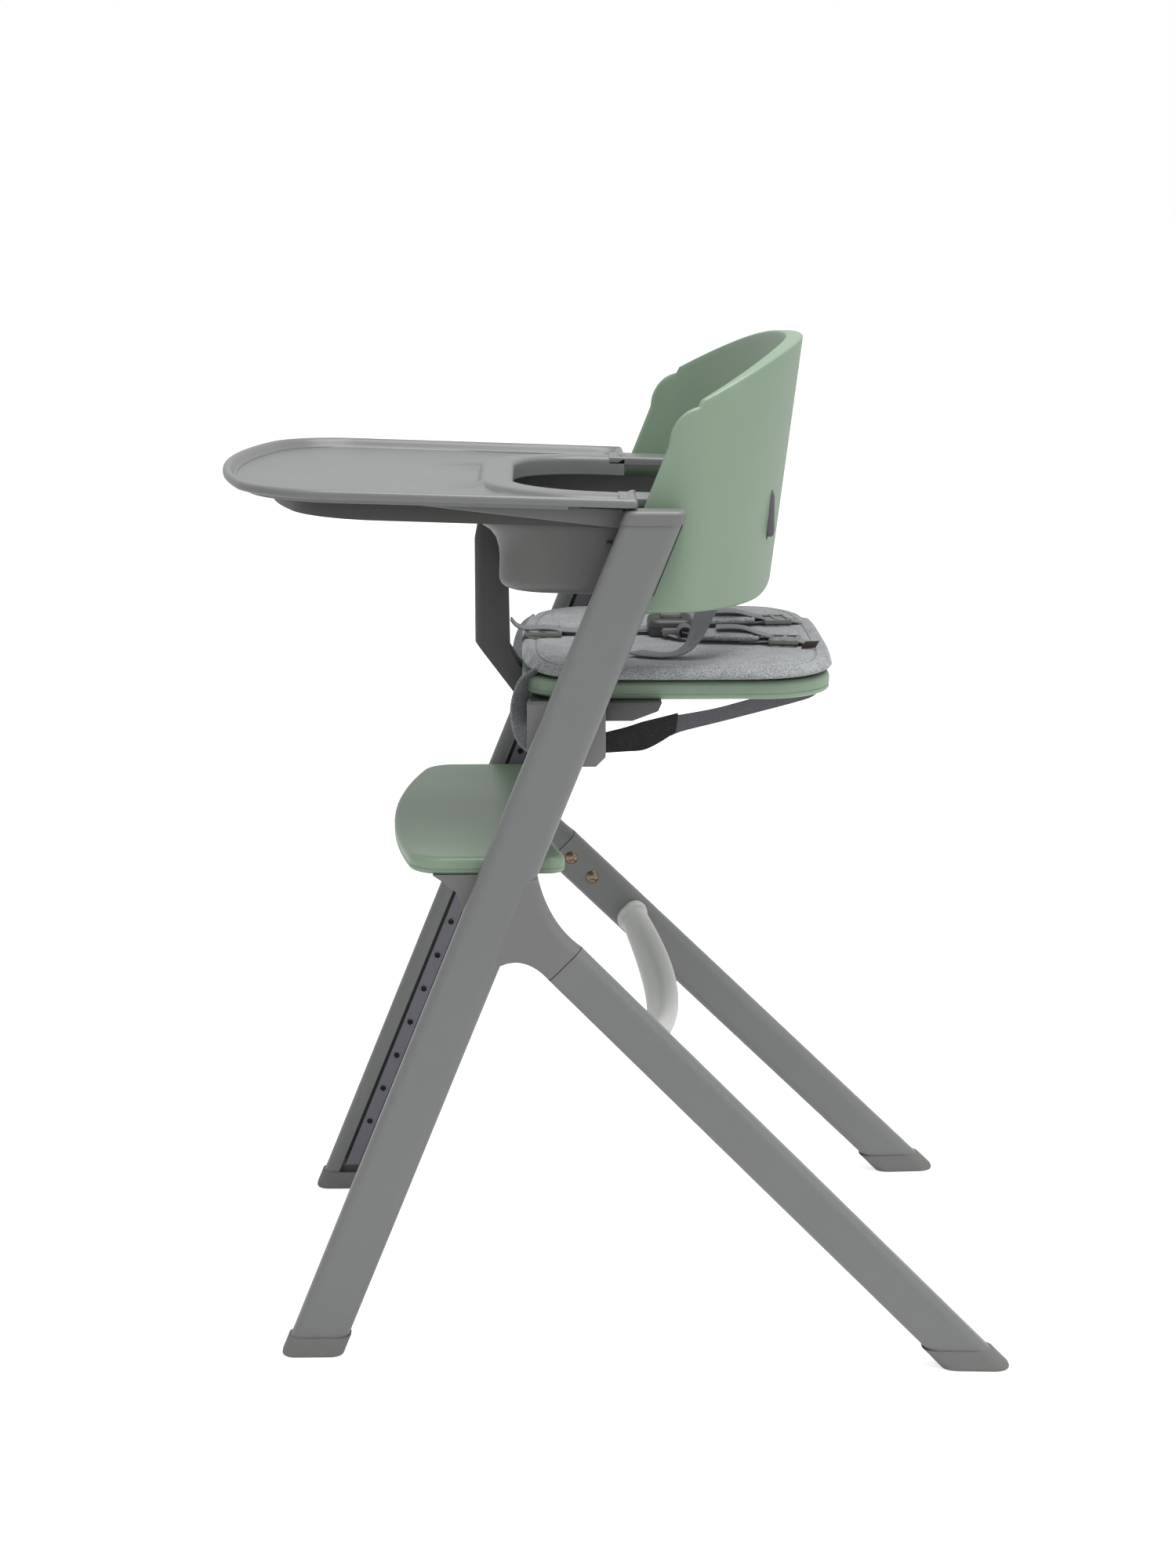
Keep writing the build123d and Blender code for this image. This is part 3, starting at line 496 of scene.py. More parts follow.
def smoothLine(points, step):
    # a Catmull-Rom line through the points, evenly spaced
    points = np.asarray(points, float)
    padded = np.vstack([2 * points[0] - points[1], points, 2 * points[-1] - points[-2]])
    fine = []
    for k in range(1, len(padded) - 2):
        a, b, c, d = padded[k - 1:k + 3]
        for t in np.linspace(0, 1, 16, endpoint=False):
            fine.append(0.5 * (2 * b + (c - a) * t + (2 * a - 5 * b + 4 * c - d) * t ** 2
                               + (3 * b - a - 3 * c + d) * t ** 3))
    fine.append(points[-1])
    fine = np.array(fine)
    length = np.linalg.norm(np.diff(fine, axis=0), axis=1).sum()
    return evenly(fine, max(6, int(length / step)), closed=False)


def softened(node, width, material, body, segments=3):
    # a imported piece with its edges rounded
    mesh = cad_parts[node].data.copy()
    cleanMesh(mesh, flat=1.0)
    piece = newObject(node + "_soft", mesh)
    mesh.set_sharp_from_angle(angle=radians(sharpAngle))
    bevel = piece.modifiers.new("round", "BEVEL")
    bevel.width = width / 1000
    bevel.segments = segments
    bevel.limit_method = "ANGLE"
    bevel.angle_limit = radians(sharpAngle)
    bevel.use_clamp_overlap = True
    settle(piece)
    return dress(piece, material, body, (node,), 40)


def settle(piece):
    # the modifiers' result becomes the piece's own mesh
    graph = bpy.context.evaluated_depsgraph_get()
    graph.update()
    mesh = bpy.data.meshes.new_from_object(piece.evaluated_get(graph))
    piece.modifiers.clear()
    piece.data = mesh


# --- front legs, caps, feet and rails ---

leg = dict(lean=22.0, footY=-253.0, x=208.0, width=45.0, thick=24.5)
holes = dict(first=73.8, pitch=35.9, count=17, radius=2.75, rim=0.55, recess=1.5, floor=2.7)
slope = radians(leg["lean"])


def legY(z):
    return leg["footY"] + z * tan(slope)


def alongLeg(x, across, rise):
    # a point from the left leg's own sizes: across its width, and up its length
    return np.array([x, leg["footY"] + across * cos(slope) + rise * sin(slope),
                     rise * cos(slope) - across * sin(slope)])


def paintNode(name, material):
    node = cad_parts[name]
    node.data.materials.clear()
    node.data.materials.append(materials[material])


def makeLegs():
    for side in ("left", "right"):
        paintNode("front_leg_" + side, "legPaint")
        paintNode("rear_leg_" + side, "legPaint")
        paintNode("leg_cap_" + side, "greyPlastic")
        paintNode("front_foot_" + side, "footRubber")
        paintNode("rear_foot_" + side, "footRubber")
        paintNode("rail_" + side, "railPlastic")
    low, high = nodeBox("rail_left")
    inner = leg["x"] - leg["thick"] / 2
    # black strips deep in the rail channel: painted shade that darkens the slot beside the rail
    strips = []
    for across in (-7.6, 7.6):
        section = [(inner + 1.6, across - 1.55), (inner + 1.9, across + 1.55),
                   (inner + 3.4, across + 1.55), (inner + 3.4, across - 1.55)]
        strips.append(loft([[alongLeg(x, a, rise) for x, a in section]
                            for rise in (low[2] / cos(slope) + 4, high[2] / cos(slope) - 4)]))
    addPiece("channel_shade_strips", bothSides(together(*strips)), "seamAndShadeBlack", "frame")


def newTree(name, inputs):
    tree = bpy.data.node_groups.new(name, "GeometryNodeTree")
    tree.interface.new_socket("Geometry", in_out="OUTPUT", socket_type="NodeSocketGeometry")
    for title, kind in (("Geometry", "Geometry"), *inputs, ("Material", "Material")):
        tree.interface.new_socket(title, in_out="INPUT", socket_type="NodeSocket" + kind)
    return tree, tree.nodes.new("NodeGroupInput").outputs


def treeNode(tree, kind, **values):
    # a node with its inputs set: a number stays on the socket, an output is linked to it
    node = tree.nodes.new(kind)
    for name, value in values.items():
        socket = node.inputs[name.replace("_", " ")]
        if isinstance(value, bpy.types.NodeSocket):
            tree.links.new(value, socket)
        else:
            socket.default_value = value
    return node


def endTree(tree, spread, material):
    # real geometry with its material, for the export
    real = treeNode(tree, "GeometryNodeRealizeInstances", Geometry=spread.outputs["Instances"])
    paint = treeNode(tree, "GeometryNodeSetMaterial", Geometry=real.outputs["Geometry"],
                     Material=material)
    treeNode(tree, "NodeGroupOutput", Geometry=paint.outputs["Geometry"])
    return tree


def holeRowTree():
    # rings in a straight row: the rims of the rail's holes
    tree, given = newTree("holeRow", (("Start", "Vector"), ("Step", "Vector"), ("Count", "Int"),
                                      ("Radius", "Float"), ("Rim", "Float")))
    row = treeNode(tree, "GeometryNodeMeshLine", Count=given["Count"], Start_Location=given["Start"],
                   Offset=given["Step"])
    circle = treeNode(tree, "GeometryNodeCurvePrimitiveCircle", Resolution=28, Radius=given["Radius"])
    edge = treeNode(tree, "GeometryNodeCurvePrimitiveCircle", Resolution=8, Radius=given["Rim"])
    ring = treeNode(tree, "GeometryNodeCurveToMesh", Curve=circle.outputs["Curve"],
                    Profile_Curve=edge.outputs["Curve"])
    turn = treeNode(tree, "GeometryNodeTransform", Geometry=ring.outputs["Mesh"],
                    Rotation=(0, pi / 2, 0))
    spread = treeNode(tree, "GeometryNodeInstanceOnPoints", Points=row.outputs["Mesh"],
                      Instance=turn.outputs["Geometry"])
    return endTree(tree, spread, given["Material"])


def stitchTree():
    # short thread stitches, nose to tail along a line
    tree, given = newTree("stitchLine", (("Pitch", "Float"), ("Length", "Float"), ("Thread", "Float")))
    path = treeNode(tree, "GeometryNodeMeshToCurve", Mesh=given["Geometry"])
    spots = tree.nodes.new("GeometryNodeCurveToPoints")
    spots.mode = "LENGTH"
    tree.links.new(path.outputs["Curve"], spots.inputs["Curve"])
    tree.links.new(given["Pitch"], spots.inputs["Length"])
    stitch = treeNode(tree, "GeometryNodeMeshUVSphere", Segments=6, Rings=4, Radius=1.0)
    size = treeNode(tree, "ShaderNodeCombineXYZ", X=given["Thread"], Y=given["Thread"],
                    Z=given["Length"])
    spread = treeNode(tree, "GeometryNodeInstanceOnPoints", Points=spots.outputs["Points"],
                      Instance=stitch.outputs["Mesh"], Rotation=spots.outputs["Rotation"],
                      Scale=size.outputs["Vector"])
    return endTree(tree, spread, given["Material"])


def grow(name, tree, values, base=None):
    # a piece from a node tree, turned into a plain mesh
    piece = newObject(name, base or bpy.data.meshes.new(name))
    modifier = piece.modifiers.new("grow", "NODES")
    modifier.node_group = tree
    for socket in tree.interface.items_tree:
        if socket.in_out == "INPUT" and socket.name in values:
            modifier[socket.identifier] = values[socket.name]
    settle(piece)
    return piece


def makeRailHoles(tree):
    inner = leg["x"] - leg["thick"] / 2
    for side, sign in (("left", 1), ("right", -1)):
        start = alongLeg(inner + holes["recess"], 0, holes["first"]) * (sign, 1, 1)
        step = np.array([0, sin(slope), cos(slope)]) * holes["pitch"]
        values = {"Start": tuple(start / 1000), "Step": tuple(step / 1000), "Count": holes["count"],
                  "Radius": (holes["radius"] + 0.5) / 1000, "Rim": holes["rim"] / 1000,
                  "Material": materials["railPlastic"]}
        rings = grow("rail_hole_rims_" + side, tree, values)
        dress(rings, "railPlastic", "frame")
        # black discs at the floor of each hole: painted shade in the holes
        plugs = []
        for k in range(holes["count"]):
            centre = start + step * k + np.array([sign * 1.5, 0, 0])
            disc = roundedRectangle(holes["floor"], holes["floor"], holes["floor"] - 0.01, 5)
            plugs.append(loft([setOn(disc, centre + (x, 0, 0), (0, 1, 0), (0, 0, 1))
                               for x in (0, sign * 1.0)]))
        addPiece("rail_hole_shade_discs_" + side, together(*plugs), "seamAndShadeBlack", "frame")


# --- connectors and rear legs ---

rearLeg = dict(foot=(247.6, 303.0, 0.0), seam=(213.0, -39.5, 339.4), width=38.0, thick=24.0,
               corner=9.0, flareLow=337.0, flareHigh=413.0)
rearStart, rearEnd = np.array(rearLeg["foot"]), np.array(rearLeg["seam"])
rearLength = np.linalg.norm(rearEnd - rearStart)
rearWay = (rearEnd - rearStart) / rearLength
rearAcross = np.array([1, 0, 0]) - rearWay * rearWay[0]
rearAcross /= np.linalg.norm(rearAcross)
rearUp = np.cross(rearWay, rearAcross)


def bend(first, control, last, share):
    share = np.asarray(share)[:, None]
    return first * (1 - share) ** 2 + control * 2 * share * (1 - share) + last * share ** 2


def makeConnectors():
    back = leg["width"] / 2 / cos(slope)
    low = np.array([legY(rearLeg["flareLow"]) + back, rearLeg["flareLow"]])
    high = np.array([legY(rearLeg["flareHigh"]) + back, rearLeg["flareHigh"]])
    seam = rearEnd[1:]
    side = np.array([rearWay[2], -rearWay[1]]) / hypot(rearWay[1], rearWay[2]) * rearLeg["width"] / 2
    upper, lower = seam + side, seam - side
    shares = np.linspace(0, 1, 26)
    top = bend(high, (high + upper) / 2 + (-10, -10), upper, shares)
    bottom = bend(low, (low + lower) / 2 + (2, 15), lower, shares)
    rings = []
    inside = np.array([-9.5, 0])
    for k, share in enumerate(np.concatenate([[-1], shares])):
        up, down = (top[0] + inside, bottom[0] + inside) if share < 0 else (top[k - 1], bottom[k - 1])
        share = max(share, 0)
        middle, half = (up + down) / 2, np.linalg.norm(up - down) / 2
        ease = share * share * (3 - 2 * share)
        thick = (leg["thick"] - 0.7) * (1 - ease) + rearLeg["thick"] * ease
        xAxis = np.array([1, 0, 0]) * (1 - ease) + rearAcross * ease
        yAxis = np.concatenate([[0], (up - down) / (2 * half)])
        section = roundedRectangle(thick / 2, half, rearLeg["corner"], 7)
        origin = (leg["x"] * (1 - ease) + rearEnd[0] * ease, middle[0], middle[1])
        rings.append(setOn(section, origin, xAxis, yAxis))
    body = loft(rings)
    for name, shape in (("left", body), ("right", mirrored(body))):
        addPiece("joint_cover_" + name, shape, "greyPlastic", "frame",
                 ("connector_" + name, "connector_cover_" + name))
    proud = 0.12
    flat = roundedRectangle(rearLeg["thick"] / 2 + proud, rearLeg["width"] / 2 + proud,
                            rearLeg["corner"] + 0.1, 7)
    line = loft([setOn(flat, rearEnd - rearWay * d, rearAcross, rearUp) for d in (-0.35, 0.35)])
    addPiece("joint_seams", bothSides(line), "seamAndShadeBlack", "frame")


# --- handle bar ---

handle = dict(place=96.0, sag=28.0, endBroad=12.5, midBroad=16.5, endDeep=9.0, midDeep=9.8)


def makeHandle():
    end = rearStart + rearWay * (rearLength - handle["place"]) - rearAcross * rearLeg["thick"] / 2
    drop = np.array([0, -rearWay[1], -rearWay[2]])
    drop /= np.linalg.norm(drop)
    broad = np.array([0, -drop[2], drop[1]])
    rings = []
    for share in np.linspace(-1, 1, 49):
        bulge = 1 - share * share
        middle = np.array([share * (end[0] + 1), end[1], end[2]]) + drop * handle["sag"] * bulge
        tangent = np.array([end[0], 0, 0]) - drop * handle["sag"] * 2 * share
        tangent /= np.linalg.norm(tangent)
        deepAxis = np.cross(broad, tangent)
        ease = bulge ** 0.8
        a = handle["endBroad"] * (1 - ease) + handle["midBroad"] * ease
        b = handle["endDeep"] * (1 - ease) + handle["midDeep"] * ease
        turns = np.linspace(0, 2 * pi, 40, endpoint=False)
        flat = np.column_stack([a * np.sign(np.cos(turns)) * np.abs(np.cos(turns)) ** 0.85,
                                b * np.sign(np.sin(turns)) * np.abs(np.sin(turns)) ** 0.85])
        rings.append(setOn(flat, middle, broad, deepAxis))
    addPiece("carry_handle", loft(rings), "handlePlastic", "frame", ("handle_bar",))
    collars = []
    for x in (1, -1):
        flat = roundedRectangle(15.5, 11.5, 11.4, 8)
        steps = ((0, 1.0), (6.0, 1.0), (7.4, 0.965), (8.0, 0.90))
        mirror = np.array([x, 1, 1])
        collars.append(loft([setOn(flat * scale, (end - rearAcross * depth) * mirror,
                                   rearUp * mirror, rearWay * mirror) for depth, scale in steps]))
    addPiece("handle_rings", together(*collars), "handlePlastic", "frame", ("handle_collars",))


# --- backrest shell ---

shell = dict(half=193.0, midY=50.0, bottom=626.0, top=838.0, depth=89.0, flare=0.127, wing=5.0,
             back=15.0, cornerZ=778.0, round=2.2, slotX=105.0, slotLow=674.0, slotHigh=716.0,
             slotWidth=7.0, unroll=150.0, columns=150, rows=34)


def shellPoint(q, z, inner):
    # q runs round the outline: zero at the middle of the back, one unit per millimetre on the wings
    middle = shell["unroll"] * pi / 2
    s = middle - abs(q)
    half = shell["half"] - (shell["wing"] if inner else 0)
    depth = shell["depth"] - (shell["back"] if inner else 0) + (z - shell["bottom"]) * shell["flare"]
    if s < 0:
        return np.array([half * (1 if q > 0 else -1), shell["midY"] + s, z])
    angle = s / shell["unroll"]
    return np.array([half * cos(angle) * (1 if q > 0 else -1), shell["midY"] + depth * sin(angle), z])


def wingFront(z):
    return legY(z) - 10.0


def arcThrough(a, b, c, count):
    a, b, c = (np.asarray(p, float) for p in (a, b, c))
    d = 2 * (a[0] * (b[1] - c[1]) + b[0] * (c[1] - a[1]) + c[0] * (a[1] - b[1]))
    squares = [p @ p for p in (a, b, c)]
    centre = np.array([squares[0] * (b[1] - c[1]) + squares[1] * (c[1] - a[1]) + squares[2] * (a[1] - b[1]),
                       squares[0] * (c[0] - b[0]) + squares[1] * (a[0] - c[0])
                       + squares[2] * (b[0] - a[0])]) / d
    radius = np.linalg.norm(a - centre)
    first, last = (np.arctan2(*(p - centre)[::-1]) for p in (a, c))
    if last - first > pi:
        last -= 2 * pi
    if first - last > pi:
        last += 2 * pi
    return np.column_stack([centre[0] + radius * np.cos(np.linspace(first, last, count)),
                            centre[1] + radius * np.sin(np.linspace(first, last, count))])


def shellRim(y):
    # height of the rim over a distance from the front: a ramp that eases into the level top
    ramp = shell["cornerZ"] + 13 + 0.5 * (y - (wingFront(shell["cornerZ"]) + 18))
    gap, ease = ramp - shell["top"], 9.0
    return (ramp + shell["top"] - (np.sqrt(gap * gap + ease * ease) - ease)) / 2


def shellFoot(y):
    # height of the lower edge: level, then rounded up towards the back
    start, reach, rise = 119.0, 25.0, 18.0
    share = np.clip((y - start) / reach, 0, 1)
    return shell["bottom"] + rise * (1 - np.sqrt(1 - np.minimum(share, 0.995) ** 2))


def settledEdge(places, start, heightAt):
    # an edge's height and its distance from the front depend on each other
    edge = []
    for q in places:
        z = start
        for _ in range(12):
            z = heightAt(shellPoint(q + 1e-6, z, False)[1])
        edge.append((q, z))
    return edge


def shellOutline():
    middle = shell["unroll"] * pi / 2
    corner = wingFront(shell["cornerZ"])
    arc = arcThrough((corner - 7, shell["cornerZ"] - 17), (corner - 2, shell["cornerZ"]),
                     (corner + 18, shell["cornerZ"] + 13), 21)
    cutAt = 9
    edge = [(wingFront(z), z) for z in np.linspace(shell["bottom"], shell["cornerZ"] - 17, 16)]
    front = np.array(edge[:-1] + arc[:cutAt + 1].tolist())
    front = evenly(front, shell["rows"], closed=False)
    frontLine = np.column_stack([middle - (front[:, 0] - shell["midY"]), front[:, 1]])
    over = [(middle - (y - shell["midY"]), z) for y, z in arc[cutAt:] if y < shell["midY"]]
    for y, z in arc[cutAt:]:
        if y >= shell["midY"]:
            depth = shell["depth"] + shell["flare"] * (z - shell["bottom"])
            angle = np.arcsin((y - shell["midY"]) / depth)
            over.append((middle - angle * shell["unroll"], z))
    over += settledEdge(np.linspace(over[-1][0] - 4, 0, 60), shell["top"], shellRim)
    under = settledEdge(np.linspace(frontLine[0, 0], 0, 90), shell["bottom"], shellFoot)
    half = shell["columns"] // 2 + 1
    over = evenly(np.array(over), half, closed=False)
    under = evenly(np.array(under), half, closed=False)
    flip = np.array([-1, 1])
    upper = np.vstack([over, (over[:-1] * flip)[::-1]])
    lower = np.vstack([under, (under[:-1] * flip)[::-1]])
    return lower, (frontLine * flip), upper, frontLine


def makeShell():
    lower, far, upper, near = shellOutline()
    rows, columns = len(near), len(lower)
    loop = np.vstack([lower, far[1:], upper[::-1][1:], near[::-1][1:-1]])
    level = shell["round"]
    turns = np.linspace(0, pi / 2, 5)
    loops = [inset(loop, level * (1 - sin(a))) for a in turns]
    bottom, right = loops[0][:columns], loops[0][columns - 1:columns + rows - 1]
    top = loops[0][columns + rows - 2:2 * columns + rows - 2][::-1]
    left = np.vstack([loops[0][2 * columns + rows - 3:], loops[0][:1]])[::-1]
    u, v = np.linspace(0, 1, columns)[:, None, None], np.linspace(0, 1, rows)[None, :, None]
    patch = ((1 - v) * bottom[:, None] + v * top[:, None] + (1 - u) * left[None] + u * right[None]
             - (1 - u) * (1 - v) * bottom[0] - u * (1 - v) * bottom[-1]
             - (1 - u) * v * top[0] - u * v * top[-1])
    points, faces = [], []
    for inner in (False, True):
        start = len(points)
        points += [shellPoint(q, z, inner) for q, z in patch.reshape(-1, 2)]
        for i in range(columns - 1):
            for j in range(rows - 1):
                a = start + i * rows + j
                faces.append((a, a + rows, a + rows + 1, a + 1))
    rim = ([i * rows for i in range(columns)] + [(columns - 1) * rows + j for j in range(1, rows)]
           + [i * rows + rows - 1 for i in range(columns - 2, -1, -1)]
           + [j for j in range(rows - 2, 0, -1)])
    rings = [rim]
    profile = [(k, level * (1 - cos(turns[k])), False) for k in range(1, len(turns))]
    profile += [(k, level * (1 - cos(turns[k])), True) for k in range(len(turns) - 1, 0, -1)]
    for k, depth, fromInside in profile:
        start = len(points)
        for q, z in loops[k]:
            outer, inside = shellPoint(q, z, False), shellPoint(q, z, True)
            way = (inside - outer) / np.linalg.norm(inside - outer)
            points.append(inside - way * depth if fromInside else outer + way * depth)
        rings.append(list(range(start, len(points))))
    rings.append([i + rows * columns for i in rim])
    for one, two in zip(rings, rings[1:]):
        for i in range(len(one)):
            j = (i + 1) % len(one)
            faces.append((one[i], one[j], two[j], two[i]))
    piece = addPiece("backrest_panel", (np.array(points), faces), "greenPlastic", "frame",
                     ("backrest_shell",))
    cutSlots(piece)


def cutSlots(piece):
    middle = (shell["slotLow"] + shell["slotHigh"]) / 2
    flat = roundedRectangle(shell["slotWidth"] / 2, (shell["slotHigh"] - shell["slotLow"]) / 2,
                            shell["slotWidth"] / 2 - 0.1, 6)
    slots = [loft([setOn(flat, (x, y, middle), (1, 0, 0), (0, 0, 1)) for y in (90, 190)])
             for x in (-shell["slotX"], shell["slotX"])]
    points, faces = together(*slots)
    mesh = bpy.data.meshes.new("slot_tool")
    mesh.from_pydata((points / 1000).tolist(), [], faces)
    cleanMesh(mesh)
    tool = newObject("slot_tool", mesh)
    modifier = piece.modifiers.new("slots", "BOOLEAN")
    modifier.operation = "DIFFERENCE"
    modifier.solver = "EXACT"
    modifier.object = tool
    settle(piece)
    bpy.data.objects.remove(tool)
    piece.data.set_sharp_from_angle(angle=radians(sharpAngle))


# --- guard ring ---

guard = dict(half=179.0, front=-90.0, rear=58.0, low=637.0, high=698.0, wall=4.0, curl=9.0,
             corner=40.0, lip=20.0)


def ringPath(half, front, rear, corner):
    # a U from above, open at the rear: points and outward directions
    start = [(half, y) for y in np.linspace(rear, front + corner, 10)[:-1]]
    arc = [(half - corner + corner * cos(a), front + corner - corner * sin(a))
           for a in np.linspace(0, pi / 2, 14)]
    rightSide = np.array(start + arc)
    nose = np.array([(x, front) for x in np.linspace(half - corner, 0, 10)[1:]])
    line = np.vstack([rightSide, nose])
    line = np.vstack([line, (line[:-1] * (-1, 1))[::-1]])
    along = np.gradient(line, axis=0)
    along /= np.linalg.norm(along, axis=1)[:, None]
    outward = np.column_stack([-along[:, 1], along[:, 0]])
    if outward[0, 0] < 0:
        outward = -outward
    return line, outward


def tilt(points, angle=1.9, pivotY=19.0, pivotZ=720.5):
    points = np.array(points, float)
    c, s = cos(radians(-angle)), sin(radians(-angle))
    y, z = points[..., 1] - pivotY, points[..., 2] - pivotZ
    points[..., 1] = pivotY + y * c - z * s
    points[..., 2] = pivotZ + y * s + z * c
    return points


def makeGuard():
    line, outward = ringPath(guard["half"], guard["front"], guard["rear"], guard["corner"])
    low, high, wall, curl = (guard[size] for size in ("low", "high", "wall", "curl"))
    turns = np.linspace(0, pi / 2, 8)
    section = [(0, high, 1.0), (0, high - 7, 1.0), (0, high - 10, 0.75), (0, high - 14, 0.42),
               (0, high - 20, 0.18), (0, high - 28, 0.05), (0, high - 36, 0)]
    section += [(-curl * (1 - cos(a)), low + curl * (1 - sin(a)), 0) for a in turns]
    section += [(-curl - 3, low, 0), (-curl - 4.4, low + 1.2, 0), (-curl - 4.4, low + wall - 1, 0),
                (-curl - 3, low + wall, 0)]
    inner = curl - wall
    section += [(-wall - inner * (1 - cos(a)), low + wall + inner * (1 - sin(a)), 0)
                for a in turns[::-1]]
    section += [(-wall, high - 34, 0), (-wall, high - 18, 0.2), (-wall, high - 8, 0.95), (-wall, high, 1.0)]
    rings = []
    for point, out in zip(line, outward):
        forward = guard["lip"] * max(0.0, -out[1]) ** 1.5
        rings.append([(point[0] + out[0] * d, point[1] + out[1] * d - forward * f, z)
                      for d, z, f in section])
    points, faces = loft(rings)
    # the guard gets its darker grey: painted shade under the tray
    addPiece("guard_bow", (tilt(points), faces), "guardShadedGrey", "frame",
             ("guard_ring",))
    softened("guard_brackets", 1.0, "darkPlastic", "frame")
    # black plates peeking out behind the legs: painted shade for the gap between leg and shell
    softened("shell_brackets", 0.8, "seamAndShadeBlack", "frame")


# --- tray ---

tray = dict(half=220.0, front=-328.4, rear=19.0, taper=2.0, turn=56.0, sag=24.0, bow=16.5, side=99.0,
            edgeTop=720.5, edgeLow=713.0, floor=712.0, wall=2.5, rim=11.5, round=3.4, openHalf=141.0,
            openFront=-81.0, openCorner=75.0, lipTop=718.5, lip=31.5, skirt=701.0, tongueHalf=182.0,
            tongueRear=58.0, heel=30.0, heelFront=-34.0)


def trayOutline():
    # the right half of the rim from the rear to the tip, then mirrored
    bow = radians(tray["bow"])
    half, front = tray["half"], tray["front"]
    start = np.array([half - tray["turn"], front + tray["sag"]])
    side = np.array([half, front + tray["side"]])
    tangent = np.array([cos(bow), sin(bow)])
    inward = np.array([-sin(bow), cos(bow)])
    radius = (side - start) @ (side - start) / (2 * (side - start) @ inward)
    centre = start + inward * radius
    a0 = np.arctan2(*(start - centre)[::-1])
    a1 = np.arctan2(*(side - centre)[::-1])
    corner = [centre + radius * np.array([cos(a), sin(a)]) for a in np.linspace(a1, a0, 26)]
    nose = arcThrough(start, (0, front), (-start[0], start[1]), 41)[:21]
    end = np.array([half - tray["taper"], tray["rear"]])
    turned = 4.0
    rear = [end + np.array([-turned + turned * cos(a), -turned + turned * sin(a)])
            for a in np.linspace(pi / 2, 0, 7)]
    arm = np.linspace(rear[-1], side, 24)[1:-1]
    rearEdge = [(x, tray["rear"]) for x in np.linspace(tray["openHalf"] + 8, end[0] - turned, 9)[:-1]]
    return np.array(rearEdge + rear + arm.tolist() + [c.tolist() for c in corner] + nose[1:].tolist())


def openingOutline(count):
    half, front, corner = tray["openHalf"], tray["openFront"], tray["openCorner"]
    arm = [(half, y) for y in np.linspace(tray["rear"], front + corner, 14)[:-1]]
    arc = [(half - corner + corner * cos(a), front + corner - corner * sin(a))
           for a in np.linspace(0, pi / 2, 30)]
    nose = [(x, front) for x in np.linspace(half - corner, 0, 16)[1:]]
    return evenly(np.array(arm + arc + nose), count, closed=False)


def lineDistance(points, line):
    # shortest distance from each point to a broken line
    a, b = line[:-1], line[1:]
    way = b - a
    share = np.clip(((points[:, None] - a) * way).sum(2) / (way * way).sum(1), 0, 1)
    nearest = a + share[..., None] * way
    return np.linalg.norm(points[:, None] - nearest, axis=2).min(1)


def trayHeight(flat, rimLine, openLine):
    outer, inner = lineDistance(flat, rimLine), lineDistance(flat, openLine)
    top, floor = tray["edgeTop"], tray["floor"]

    def ease(x):
        x = np.clip(x, 0, 1)
        return x * x * (3 - 2 * x)

    edge = tray["round"]
    rim = (top - floor) * (1 - ease((outer - 4.5) / (tray["rim"] - 4.5)))
    rim -= 0.9 * np.exp(-((outer - 13.5) / 2.6) ** 2)
    rim -= edge - np.sqrt(np.clip(edge ** 2 - np.clip(edge - outer, 0, edge) ** 2, 0, None))
    turned, blend = 4.5, 1.2
    lip = (tray["lipTop"] - floor) * (1 - ease((inner - 25.5) / (tray["lip"] - 25.5)))
    lip -= 0.7 * ((inner - 14) / 12) ** 2 * (inner < 27)
    lip -= turned - np.sqrt(np.clip(turned ** 2 - np.clip(turned - inner, 0, turned) ** 2, 0, None))
    both = (rim + lip + np.sqrt((rim - lip) ** 2 + blend ** 2)) / 2 - blend / 2
    both = np.where(inner < turned, np.maximum(lip, both), both)
    return floor + np.where(outer < edge, rim, both)


def bothHalves(line):
    return np.vstack([line, (line[:-1] * (-1, 1))[::-1]])


def openingPartners(rimLine, openLine):
    # each rim station looks for its partner on the opening
    rearCount = 16
    centreY = tray["openFront"] + tray["openCorner"]
    partners = []
    for x, y in rimLine:
        if y > centreY:
            partners.append((tray["openHalf"], min(y, tray["rear"])))
            continue
        way = np.array([x, y - centreY])
        angles = np.arctan2(openLine[:, 0], -(openLine[:, 1] - centreY))
        want = np.arctan2(way[0], -way[1])
        k = np.argmin(np.abs(angles - want))
        partners.append(openLine[k])
    partners = np.array(partners)
    rearY = np.linspace(tray["rear"], tray["rear"] - 9, rearCount)
    partners[:rearCount - 1, 1] = rearY[:-1]
    return bothHalves(partners)


def trayTongues(floor):
    # two flat tongues run back from the arms over the leg caps
    middleX = (tray["openHalf"] + tray["tongueHalf"]) / 2
    halfX = (tray["tongueHalf"] - tray["openHalf"]) / 2
    high, rear = tray["lipTop"] - 0.05, tray["tongueRear"]
    flat = roundedRectangle(halfX, (high - floor) / 2, 2.5, 5)
    ends = [(tray["rear"] - 14, 1), (rear - 2, 1), (rear - 0.6, 0.97), (rear, 0.9)]
    return [loft([setOn(flat * scale, (sign * middleX, y, (high + floor) / 2), (1, 0, 0), (0, 0, 1))
                  for y, scale in ends]) for sign in (1, -1)]


